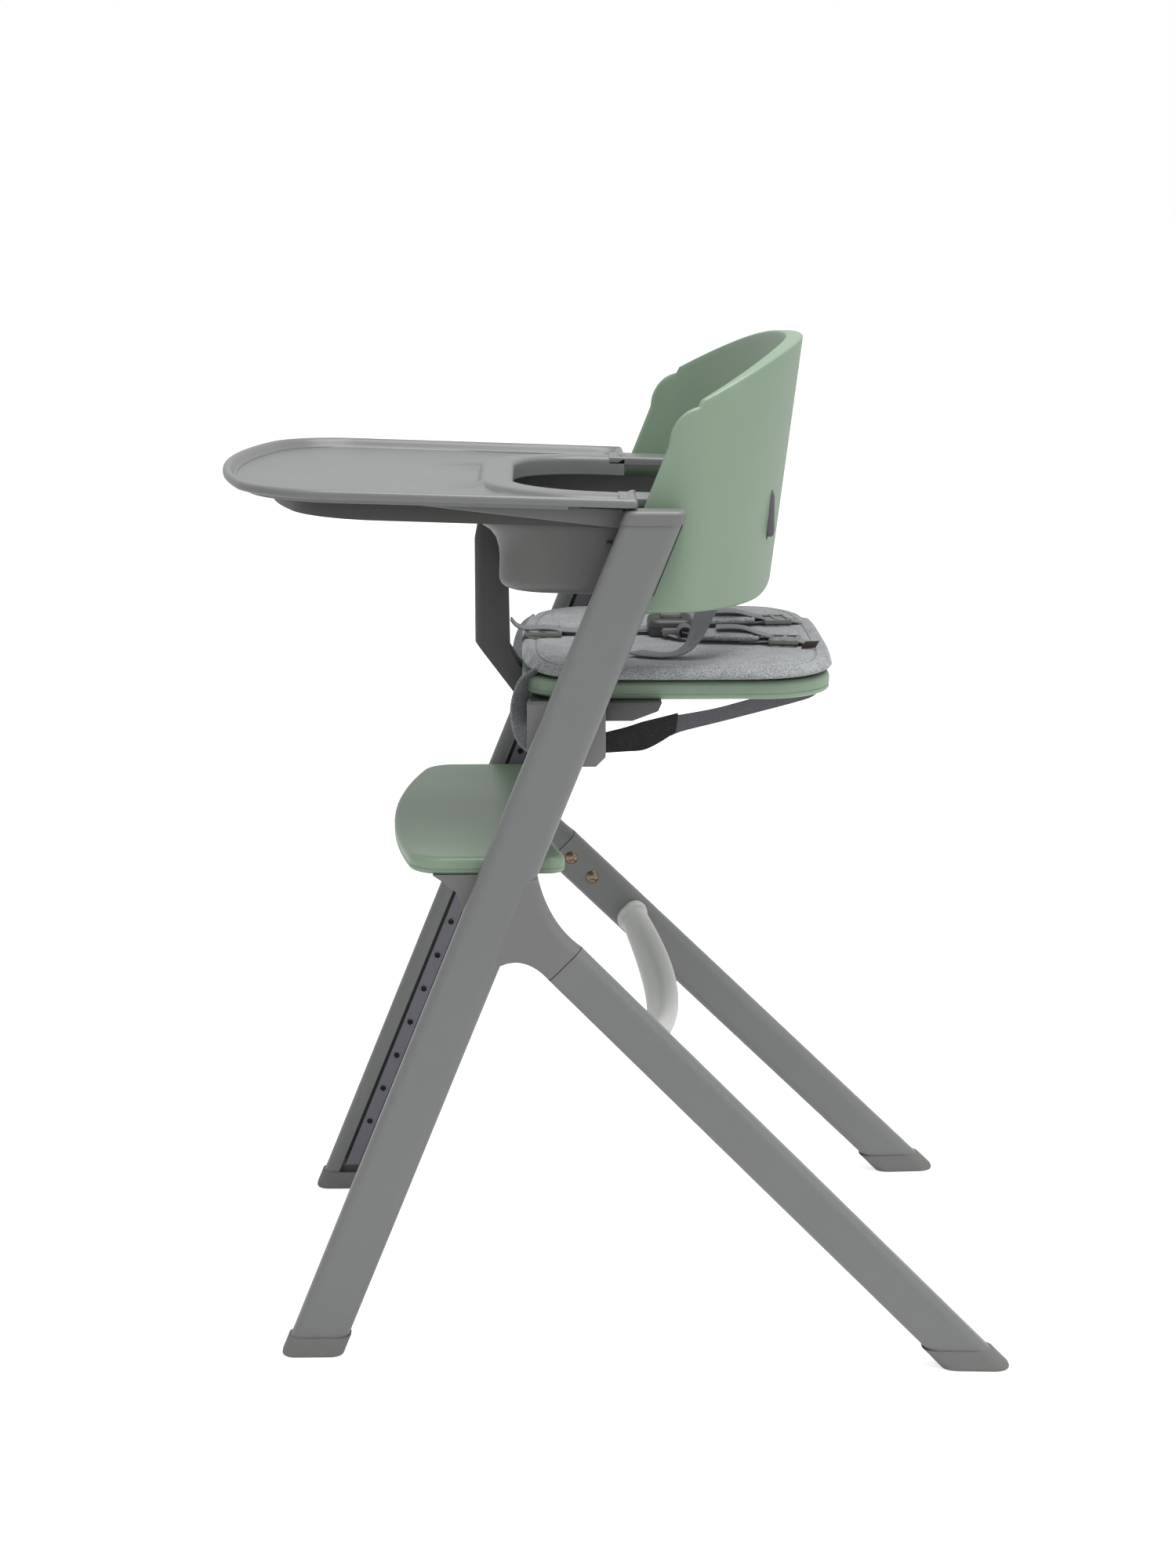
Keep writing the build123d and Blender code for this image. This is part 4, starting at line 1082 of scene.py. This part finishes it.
def makeTray():
    rimLine, openLine = trayOutline(), openingOutline(400)
    fullRim, fullOpen = bothHalves(rimLine), bothHalves(openLine)
    # distances from the opening and from the rim at which the top has points
    inStops = [0, 0.35, 1.0, 2.0, 3.2, 4.5, 7.5, 11, 15, 19, 23, 25.5, 27, 28.2, 29.4, 30.6, 31.8, 34]
    outStops = [20, 17, 15, 13.5, 12, 10.8, 9.6, 8.4, 7.2, 6, 4.7, 3.4, 2.4, 1.5, 0.7, 0.2, 0]
    floor = tray["floor"] - tray["wall"]
    rings = []
    for rimPoint, openPoint in zip(fullRim, openingPartners(rimLine, openLine)):
        way = rimPoint - openPoint
        width = np.linalg.norm(way)
        way /= width
        scale = min(1.0, width / 60)
        middle = np.linspace(34 * scale, width - 20 * scale, 5)[1:-1]
        reach = np.concatenate([np.array(inStops) * scale, middle, width - np.array(outStops) * scale])
        flat = openPoint + reach[:, None] * way
        heights = trayHeight(flat, fullRim, fullOpen)
        top = np.column_stack([flat, heights])

        def under(distance, z):
            return [*(rimPoint - way * min(distance, width * 0.8)), z]

        # the arms pass over the leg caps, so their floor is higher
        reach = tray["heel"] if rimPoint[1] > tray["heelFront"] else tray["rim"]
        lower = [under(0, 715.2), under(0.3, 714.0), under(1.2, 713.2), under(2.4, tray["edgeLow"]),
                 under(reach, tray["edgeLow"]), under(reach + 1, floor)]
        skirtIn = [*(openPoint + way * min(3.0, width * 0.15)), floor]
        skirtLow = [*(openPoint + way * min(3.0, width * 0.15)), tray["skirt"] + 0.8]
        skirtEdge = [*(openPoint + way * min(1.5, width * 0.1)), tray["skirt"]]
        wallLow = [*openPoint, tray["skirt"] + 0.8]
        wallMid = [*openPoint, (tray["skirt"] + tray["floor"]) / 2]
        rings.append(np.vstack([top, lower, [skirtIn, skirtLow, skirtEdge, wallLow, wallMid]]))
    points, faces = together(loft(rings), *trayTongues(floor))
    addPiece("tray_board", (tilt(points), faces), "trayPlastic", "tray", ("tray_top",), 42)
    # the base's darker grey is painted shade for the tray's underside
    softened("tray_base", 1.6, "baseShadePlastic", "tray")
    softened("tray_side_rails", 0.7, "greyPlastic", "tray")
    softened("tray_lever", 0.8, "greyPlastic", "tray_lever")
    paintNode("lever_pin", "screwSteel")


# --- seat and footrest plates ---

board = dict(seat=(4.5, 260), footrest=(5.0, 320), under=3.0, seam=4.6)  # edge radius, points round


def makePlates():
    for body in ("seat", "footrest"):
        upper, count = board[body]
        node = body + "_plate"
        low, high = nodeBox(node)
        outline = cutOutline(node, (low[2] + high[2]) / 2 + 1, count)
        profile = edgeProfile(low[2], high[2], upper, board["under"], seam=low[2] + board["seam"])
        addPiece(body + "_board", slabFrom(outline, profile), "greenPlastic", body, (node,))


def makeCarriers():
    for side in ("left", "right"):
        softened("seat_carrier_" + side, 1.5, "greyPlastic", "seat")
        softened("footrest_bracket_" + side, 1.5, "greyPlastic", "footrest")
        softened("seat_lock_" + side, 1.0, "darkPlastic", "seat_lock_" + side)
        softened("footrest_lock_" + side, 1.0, "darkPlastic", "footrest_lock_" + side)
    softened("seat_arms", 1.5, "darkPlastic", "seat")
    softened("seat_cross_tube", 1.5, "darkPlastic", "seat")
    for name in ("leg_screws", "shell_screws", "seat_screws", "footrest_screws"):
        paintNode(name, "screwSteel")


# --- crotch post ---

def makePost():
    softened("crotch_post", 2.5, "darkPlastic", "seat", segments=4)


# --- cushion ---

cushion = dict(inset=3.0, thick=8.2, voxel=0.005, pressure=4.5, cap=5.0, seam=12.0, groove=1.6,
               wave=0.3, relief=0.5, fill=0.75)


def bowedPlan(low, high, count, power=4.2):
    # a plan with bowed edges and soft corners
    middle, half = (low + high) / 2, (high - low) / 2
    turns = np.linspace(0, 2 * pi, 720, endpoint=False)
    flat = np.column_stack([np.sign(wave) * np.abs(wave) ** (2 / power)
                            for wave in (np.cos(turns), np.sin(turns))])
    return evenly(flat * half + middle, count)


def puffUp(piece, anchors, cap):
    # swell a closed shape with a cloth simulation, holding the points that anchors picks
    mesh = piece.data
    rest = np.empty(len(mesh.vertices) * 3)
    mesh.vertices.foreach_get("co", rest)
    rest = rest.reshape(-1, 3)
    held = piece.vertex_groups.new(name="held")
    for index in np.where(anchors(rest * 1000))[0]:
        held.add([int(index)], 1.0, "REPLACE")
    cloth = piece.modifiers.new("cloth", "CLOTH")
    cloth.settings.vertex_group_mass = "held"
    cloth.settings.use_pressure = True
    cloth.settings.uniform_pressure_force = cushion["pressure"]
    cloth.settings.effector_weights.gravity = 0
    cloth.settings.tension_stiffness = 12
    cloth.settings.bending_stiffness = 0.8
    scene = bpy.context.scene
    scene.frame_start, scene.frame_end = 1, 20
    for number in range(1, 21):
        scene.frame_set(number)
    graph = bpy.context.evaluated_depsgraph_get()
    solved = piece.evaluated_get(graph).to_mesh()
    swollen = np.empty(len(solved.vertices) * 3)
    solved.vertices.foreach_get("co", swollen)
    piece.evaluated_get(graph).to_mesh_clear()
    move = swollen.reshape(-1, 3) - rest
    size = np.linalg.norm(move, axis=1)
    move *= (np.minimum(size, cap / 1000) / np.maximum(size, 1e-9))[:, None]
    piece.modifiers.clear()
    scene.frame_set(1)
    mesh.vertices.foreach_set("co", (rest + move).ravel())
    mesh.update()


def meshPoints(piece):
    points = np.empty(len(piece.data.vertices) * 3)
    piece.data.vertices.foreach_get("co", points)
    return points.reshape(-1, 3) * 1000


def padSurface(piece, voxel, floor, cap):
    # even squares, swollen above the floor, then made finer
    remesh = piece.modifiers.new("even", "REMESH")
    remesh.mode = "VOXEL"
    remesh.voxel_size = voxel
    settle(piece)
    puffUp(piece, lambda p: p[:, 2] < floor, cap)
    finer = piece.modifiers.new("finer", "SUBSURF")
    finer.levels = finer.render_levels = 1
    settle(piece)
    return meshPoints(piece)


def putPoints(piece, points):
    piece.data.vertices.foreach_set("co", (points / 1000).ravel())
    piece.data.update()


def makeCushion():
    low, high = nodeBox("seat_cushion")
    low, high = low + cushion["inset"], high - cushion["inset"]
    outline = bowedPlan(low[:2], high[:2], 300)
    middle = (low[2] + high[2]) / 2
    base, top = middle - cushion["thick"] / 2, middle + cushion["thick"] / 2
    profile = [(3.5, top), (1.4, top - 0.8), (0.3, top - 2.2), (0, middle), (0.3, base + 2.2),
               (1.4, base + 0.8), (3.5, base)]
    piece = addPiece("seat_pad", slabFrom(outline, profile), "cushionFabric", "seat",
                     ("seat_cushion",), 80)
    points = padSurface(piece, cushion["voxel"], base + 0.8, cushion["cap"])
    # the sewn edge holds its plan, and the top is even apart from the wadding
    outline = bowedPlan(low[:2] - cushion["inset"] + 0.4, high[:2] + cushion["inset"] - 0.4, 300)
    for k in (0, 1):
        start, end = points[:, k].min(), points[:, k].max()
        share = (points[:, k] - start) / (end - start)
        points[:, k] = outline[:, k].min() + share * np.ptp(outline[:, k])
    ceiling = high[2] + cushion["inset"] - 0.2
    floor = low[2] - cushion["inset"] + 0.1
    edge = lineDistance(points[:, :2], np.vstack([outline, outline[:1]]))
    upper = points[:, 2] > middle
    rolled = cushion["wave"] * np.sin(points[:, 0] * 0.045 + 1.1) * np.sin(points[:, 1] * 0.052)
    wadding = np.clip(0.25 * (points[:, 2] - np.median(points[upper, 2])),
                      -cushion["relief"], cushion["relief"])
    crown = ceiling - 1.2 * np.exp(-edge / 9) + rolled + wadding
    share = np.clip((edge - 1.5) / 6, 0, 1)
    share = share * share * (3 - 2 * share)
    points[:, 2] += np.where(upper, (crown - points[:, 2]) * share, 0)
    points[:, 2] -= np.where(upper, np.exp(-((edge - cushion["seam"]) / 2.0) ** 2) * cushion["groove"], 0)
    points[:, 2] = np.where(upper, points[:, 2], np.maximum(points[:, 2], floor))
    putPoints(piece, points)
    dress(piece, "cushionFabric", "seat", ("seat_cushion",), 80)
    makeSeam(piece, points, outline)


def makeSeam(piece, points, outline):
    # a dark cord lies in the sewn channel, with stitches over it
    tree = BVHTree.FromPolygons([Vector(p) for p in points], [f.vertices[:] for f in piece.data.polygons])
    line = evenly(inset(outline, cushion["seam"]), 360)
    height = [tree.ray_cast(Vector((x, y, 700)), Vector((0, 0, -1)))[0].z for x, y in line]
    line = np.column_stack([line, np.array(height)])
    rings = []
    for point, ahead, behind in zip(line, np.roll(line, -1, 0), np.roll(line, 1, 0)):
        way = (ahead - behind) / np.linalg.norm(ahead - behind)
        out = np.array([way[1], -way[0], 0])
        rings.append([point + out * 0.8 * cos(a) + (0, 0, 0.45 * sin(a) + 0.15)
                      for a in np.linspace(0, 2 * pi, 8, endpoint=False)])
    rings.append(rings[0])
    addPiece("pad_seam", loft(rings, ends=False), "seamThread", "seat")
    mesh = bpy.data.meshes.new("pad_stitches")
    line[:, 2] += 0.6
    mesh.from_pydata((line / 1000).tolist(), [(k, (k + 1) % len(line)) for k in range(len(line))], [])
    stitches = grow("pad_stitches", stitchTree(), {"Pitch": 0.0042, "Length": 0.0015,
                    "Thread": 0.00032, "Material": materials["cushionThread"]}, mesh)
    dress(stitches, "cushionThread", "seat")


def makeLabel():
    # a plain tag sewn at one edge, standing up a little
    low, high = nodeBox("cushion_label")
    centre = (low + high) / 2
    up, across = np.array([0.55, 0.3, 0.75]), np.array([-0.3, 0.95, 0])
    flat = roundedRectangle(6.6, 4.6, 1.0, 3)
    start = np.array([centre[0] - 3, centre[1] + 1, low[2] + 2.6])
    rings = [setOn(flat, start + np.array([0.8, 0.2, 0]) * lift, across, up) for lift in (0, 0.7)]
    addPiece("plain_tag", loft(rings), "labelFabric", "seat", ("cushion_label",))


# --- harness ---

harness = dict(width=21.5, thick=1.5, high=578.6)
strapPad = dict(x=46.0, y=101.0, lift=5.6, halfWidth=18, halfLength=31, corner=9, voxel=0.0032,
                cap=3.0, fill=0.8, top=10.8)


def makeShoulderPads():
    # padded covers over the waist straps, lying on the cushion
    for sign in (-1, 1):
        middle = np.array([sign * strapPad["x"], strapPad["y"], harness["high"] + strapPad["lift"]])
        way = np.array([sign * 0.17, 0.985, 0])
        across = np.array([way[1], -way[0], 0])
        flat = evenly(roundedRectangle(strapPad["halfWidth"], strapPad["halfLength"],
                                       strapPad["corner"], 5), 90)
        rings = []
        for amount, lift in ((7, 2.6), (3.2, 2.4), (1.2, 1.7), (0.1, 0.6), (0, 0), (0.1, -0.8),
                             (1.2, -1.8), (3.2, -2.6), (7, -2.9)):
            rings.append(setOn(inset(flat, amount), middle + (0, 0, lift), across, way))
        name = "strap_pad_" + ("left" if sign > 0 else "right")
        nodes = ("shoulder_pads",) if sign > 0 else ()
        piece = addPiece(name, loft(rings), "padFabric", "seat", nodes, 80)
        points = padSurface(piece, strapPad["voxel"], middle[2] - 2.5, strapPad["cap"])
        place = (points - middle) @ np.column_stack([across, way, (0, 0, 1)])
        edge = np.minimum(strapPad["halfWidth"] - 0.5 - np.abs(place[:, 0]),
                          strapPad["halfLength"] - 0.5 - np.abs(place[:, 1]))
        upper = place[:, 2] > 0.5
        points[:, 2] -= np.where(upper, 1.1 * np.exp(-((edge - 5.0) / 1.3) ** 2), 0)
        points[:, 2] = np.clip(points[:, 2], harness["high"] + 0.3,
                               harness["high"] + strapPad["top"])
        putPoints(piece, points)
        dress(piece, "padFabric", "seat", nodes, 80)


def webbingPiece(name, shapes, body, nodes=(), material="webbing"):
    return addPiece(name, together(*shapes), material, body, nodes, 50)


def makeWaistStraps():
    high, w, t = harness["high"], harness["width"], harness["thick"]
    flat = []
    for sign in (-1, 1):
        s = np.array([sign, 1, 1])
        # from the cushion's rear corner, through the adjuster, under the pad, to the buckle
        flat.append(ribbon(np.array([(61, 172, high + 0.9), (57.5, 158, high + 3.4),
                                     (55.5, 146, high + 3.4), (52, 128, high + 2.2),
                                     (49, 112, high + 1.6)]) * s, w, t))
        flat.append(ribbon(np.array([(45, 92, high + 3.4), (41, 76, high + 2.4), (34, 64, high + 2.6),
                                     (24, 57, high + 5.4), (17, 55, high + 6.6)]) * s, w, t,
                           [(1, -0.1 * sign, 0), (1, -0.2 * sign, 0), (0.8, -0.6 * sign, 0),
                            (0.3, -0.95 * sign, 0), (0.1, -1, 0)]))
        # the loose end hangs out of the adjuster and curls
        flat.append(ribbon(np.array([(54, 139, high + 5.6), (51, 128, high + 8.4), (47, 116, high + 12.0),
                                     (45, 105, high + 12.8), (44, 92, high + 12.3)]) * s, w - 1, t))
    webbingPiece("waist_straps", flat, "seat", ("harness_straps",))
    rolls = []
    for sign in (-1, 1):
        turns = np.linspace(0.3, 1.65 * pi, 26)
        radius = 6.4 - 1.1 * turns / pi
        line = np.column_stack([np.full(26, 36.0 * sign) + sign * 0.1 * turns,
                                66 - radius * np.sin(turns) * 1.1,
                                high + 7.2 - radius * np.cos(turns)])
        rolls.append(ribbon(line, w - 1, t, step=1.2))
    webbingPiece("rolled_ends", rolls, "seat", material="darkWebbing")


def plate(flat, centre, steps, xAxis=(1, 0, 0), yAxis=(0, 1, 0)):
    # a flat outline stacked upwards; steps lists (height, scale)
    return loft([setOn(flat * scale, centre + np.array([0, 0, lift]), xAxis, yAxis)
                 for lift, scale in steps])


def makeAdjusters():
    # three-bar glides
    plates = []
    for sign in (-1, 1):
        turn = radians(-sign * 9)
        centre = np.array([sign * 56.0, 150.0, harness["high"] + 3.2])
        along = np.array([sin(turn) * -1, cos(turn), 0])
        across = np.array([cos(turn), sin(turn), 0])
        steps = ((-1.5, 0.96), (-1.1, 1), (1.4, 1), (1.9, 0.96))
        bars = [(along * place, (16.5, 1.55)) for place in (-11.2, 0, 11.2)]
        bars += [(across * place, (1.6, 12.7)) for place in (-15.2, 15.2)]
        for place, halves in bars:
            plates.append(plate(roundedRectangle(*halves, 1.5, 4), centre + place, steps, across, along))
    addPiece("three_bar_glides", together(*plates), "buckleGrey", "seat", ("strap_adjusters",))


def makeBuckle():
    high = harness["high"]
    centre = np.array([0, 55.0, high])
    rings = []
    flat = evenly(roundedRectangle(24.0, 20.0, 9.5, 8), 96)
    for amount, lift in ((2.4, 0.4), (0.8, 1.2), (0, 3.0), (0, 7.6), (0.5, 8.0), (0, 8.4), (0.2, 11.6),
                         (1.4, 13.8), (3.4, 14.9), (10.4, 15.3), (10.8, 15.1), (11.0, 12.4)):
        rings.append(setOn(inset(flat, amount), centre + (0, 0, lift), (1, 0, 0), (0, 1, 0)))
    addPiece("buckle_body", loft(rings), "darkPlastic", "seat", ("harness_buckle",))
    low, top = nodeBox("buckle_button")
    middle = (low + top) / 2
    disc = roundedRectangle(9.0, 9.0, 8.98, 12)
    steps = ((low[2], 1.0), (top[2] - 1.0, 1.0), (top[2] - 0.35, 0.97), (top[2], 0.88),
             (top[2] - 0.5, 0.5), (top[2] - 0.65, 0.1))
    addPiece("release_button", plate(disc, (middle[0], middle[1], 0), steps), "buckleGrey",
             "buckle_button", ("buckle_button",))
    prongs = []
    for sign in (-1, 1):
        flat = roundedRectangle(7.5, 8.5, 2.5, 4)
        prongs.append(plate(flat, (sign * 27.5, 55.0, high),
                            ((2.6, 0.95), (3.2, 1), (7.8, 1), (8.6, 0.94))))
    addPiece("buckle_prongs", together(*prongs), "buckleGrey", "seat")


def makeCrotchStrap():
    high, w, t = harness["high"], harness["width"], harness["thick"]
    rear = -93.0
    over = high + 5.2
    strap = [(0, rear + 9, over + 8), (0, -79, over + 2.4), (0, -70, over), (0, -52, over + 0.4),
             (0, -36, over - 2.0), (0, 0, over - 2.8), (0, 30, over - 0.6), (0, 38, over)]
    webbingPiece("crotch_webbing", [ribbon(strap, w, t)], "seat", ("crotch_strap",))
    bars = []
    for x, halfX, y, halfY in ((-17.5, 2.3, -56, 16), (17.5, 2.3, -56, 16), (0, 19.6, -70.2, 1.8),
                               (0, 19.6, -56, 1.8), (0, 19.6, -41.8, 1.8)):
        flat = roundedRectangle(halfX, halfY, min(halfX, halfY) - 0.1, 4)
        bars.append(plate(flat, (x, y, high), ((0.2, 0.95), (0.7, 1), (3.3, 1), (3.8, 0.95))))
    addPiece("crotch_glide", together(*bars), "buckleGrey", "seat", ("crotch_slider",))


def makeShoulderStraps():
    # from the slot in the shell down to the cushion, then folded over behind the pad
    high, w, t = harness["high"], harness["width"], harness["thick"]
    for side, sign in (("left", 1), ("right", -1)):
        points = np.array([(105, 129, 690), (105, 117, 689), (105.5, 109, 681), (108, 98, 657),
                           (113, 86, 630), (119, 77, 612), (124, 71, 598), (127, 65, 588.5),
                           (129, 57, 583.2), (129, 47, 581.2), (126, 37, 580.9), (121, 28, 581.0),
                           (115, 21, 581.6)], float)
        ways = np.array([(0.05, 0, 1), (0.05, 0.1, 1), (0.15, 0.75, 0.6), (0.2, 0.92, 0.35),
                         (0.35, 0.88, 0.3), (0.6, 0.75, 0.2), (0.85, 0.5, 0), (0.95, 0.3, 0),
                         (0.98, 0.15, 0), (0.97, -0.2, 0), (0.9, -0.4, 0), (0.85, -0.5, 0),
                         (0.8, -0.6, 0)], float)
        points[:, 2] = np.maximum(points[:, 2], high + 2.0)
        piece = webbingPiece("shoulder_webbing_" + side,
                             [ribbon(points * (sign, 1, 1), w, t, ways * (sign, 1, 1))], None,
                             ("shoulder_strap_" + side,))
        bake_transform(piece)
    tabs = []
    low, top = nodeBox("harness_anchors")
    for sign in (1, -1):
        flat = roundedRectangle(2.1, 19.0, 2.0, 4)
        middle = (low[2] + top[2]) / 2
        profile = ((low[1] + 0.4, 0.97), (low[1] + 1.0, 1.0), (top[1] - 2.6, 1.0), (top[1] - 0.8, 0.94),
                   (top[1] - 0.2, 0.82))
        tabs.append(loft([setOn(flat * (1, scale), (sign * 105.0, y, middle), (1, 0, 0), (0, 0, 1))
                          for y, scale in profile]))
    addPiece("slot_webbing_ends", together(*tabs), "darkWebbing", "frame", ("harness_anchors",))


# --- cushion's fastenings ---

def edgeBand(lower, upper, xMiddle, thick, count=60):
    # a band seen on edge: two lines in the YZ plane, given a thickness along X
    one = smoothLine(np.column_stack([np.zeros(len(lower)), lower]), 3)
    two = smoothLine(np.column_stack([np.zeros(len(upper)), upper]), 3)
    one, two = evenly(one, count, closed=False), evenly(two, count, closed=False)
    rings = []
    for a, b in zip(one, two):
        rings.append([a + (xMiddle - thick / 2, 0, 0), a + (xMiddle + thick / 2, 0, 0),
                      b + (xMiddle + thick / 2, 0, 0), b + (xMiddle - thick / 2, 0, 0)])
    return loft(rings)


def makeFastenings():
    x = 125.0
    lower = [(50, 512), (60, 516), (92, 524), (123, 532), (153, 540), (168, 545), (175, 552), (177, 560),
             (177, 565)]
    upper = [(53, 529), (71, 532), (91, 536), (113, 542), (135, 547), (155, 550.4), (166, 553.5),
             (174.6, 559), (174.8, 565)]
    band = edgeBand(lower, upper, x, 2.2)
    webbingPiece("pad_straps", [band, mirrored(band)], "seat", ("cushion_straps",), "darkWebbing")
    hook = edgeBand([(-40, 497), (-20, 497), (-4, 498), (12, 499), (26, 500), (36, 504), (46, 510),
                     (54, 515.5)],
                    [(-40, 508), (-20, 511), (-4, 515), (12, 519), (26, 523.5), (36, 526), (46, 528.5),
                     (56, 531)], x, 4.4, 60)
    webbingPiece("pad_hook_tabs", [hook, mirrored(hook)], "seat", ("strap_hook_tabs",), "hookFabric")
    # the front loops bulge forward from the pad's corners
    loop = [(137, -62, 569), (138, -70, 562), (139, -75, 550), (140, -77, 537), (139, -75, 522),
            (137, -70, 511), (134, -62, 506), (131, -54, 506)]
    front = ribbon(loop, 22, 2.6, [(0.8, -0.6, 0)] * len(loop))
    addPiece("pad_front_loops", bothSides(front), "loopFabric", "seat", ("cushion_front_loops",),
             60)


addCamera()
addStudio()
print("camera, floor and lights placed")
makeLegs()
makeRailHoles(holeRowTree())
makeConnectors()
makeHandle()
print("frame done")
makeShell()
makeGuard()
print("backrest and guard done")
makeTray()
print("tray done")
makePlates()
makeCarriers()
makePost()
print("seat and footrest done")
makeCushion()
makeLabel()
print("cushion done")
makeShoulderPads()
makeWaistStraps()
makeAdjusters()
makeBuckle()
makeCrotchStrap()
makeShoulderStraps()
makeFastenings()
print("harness done")
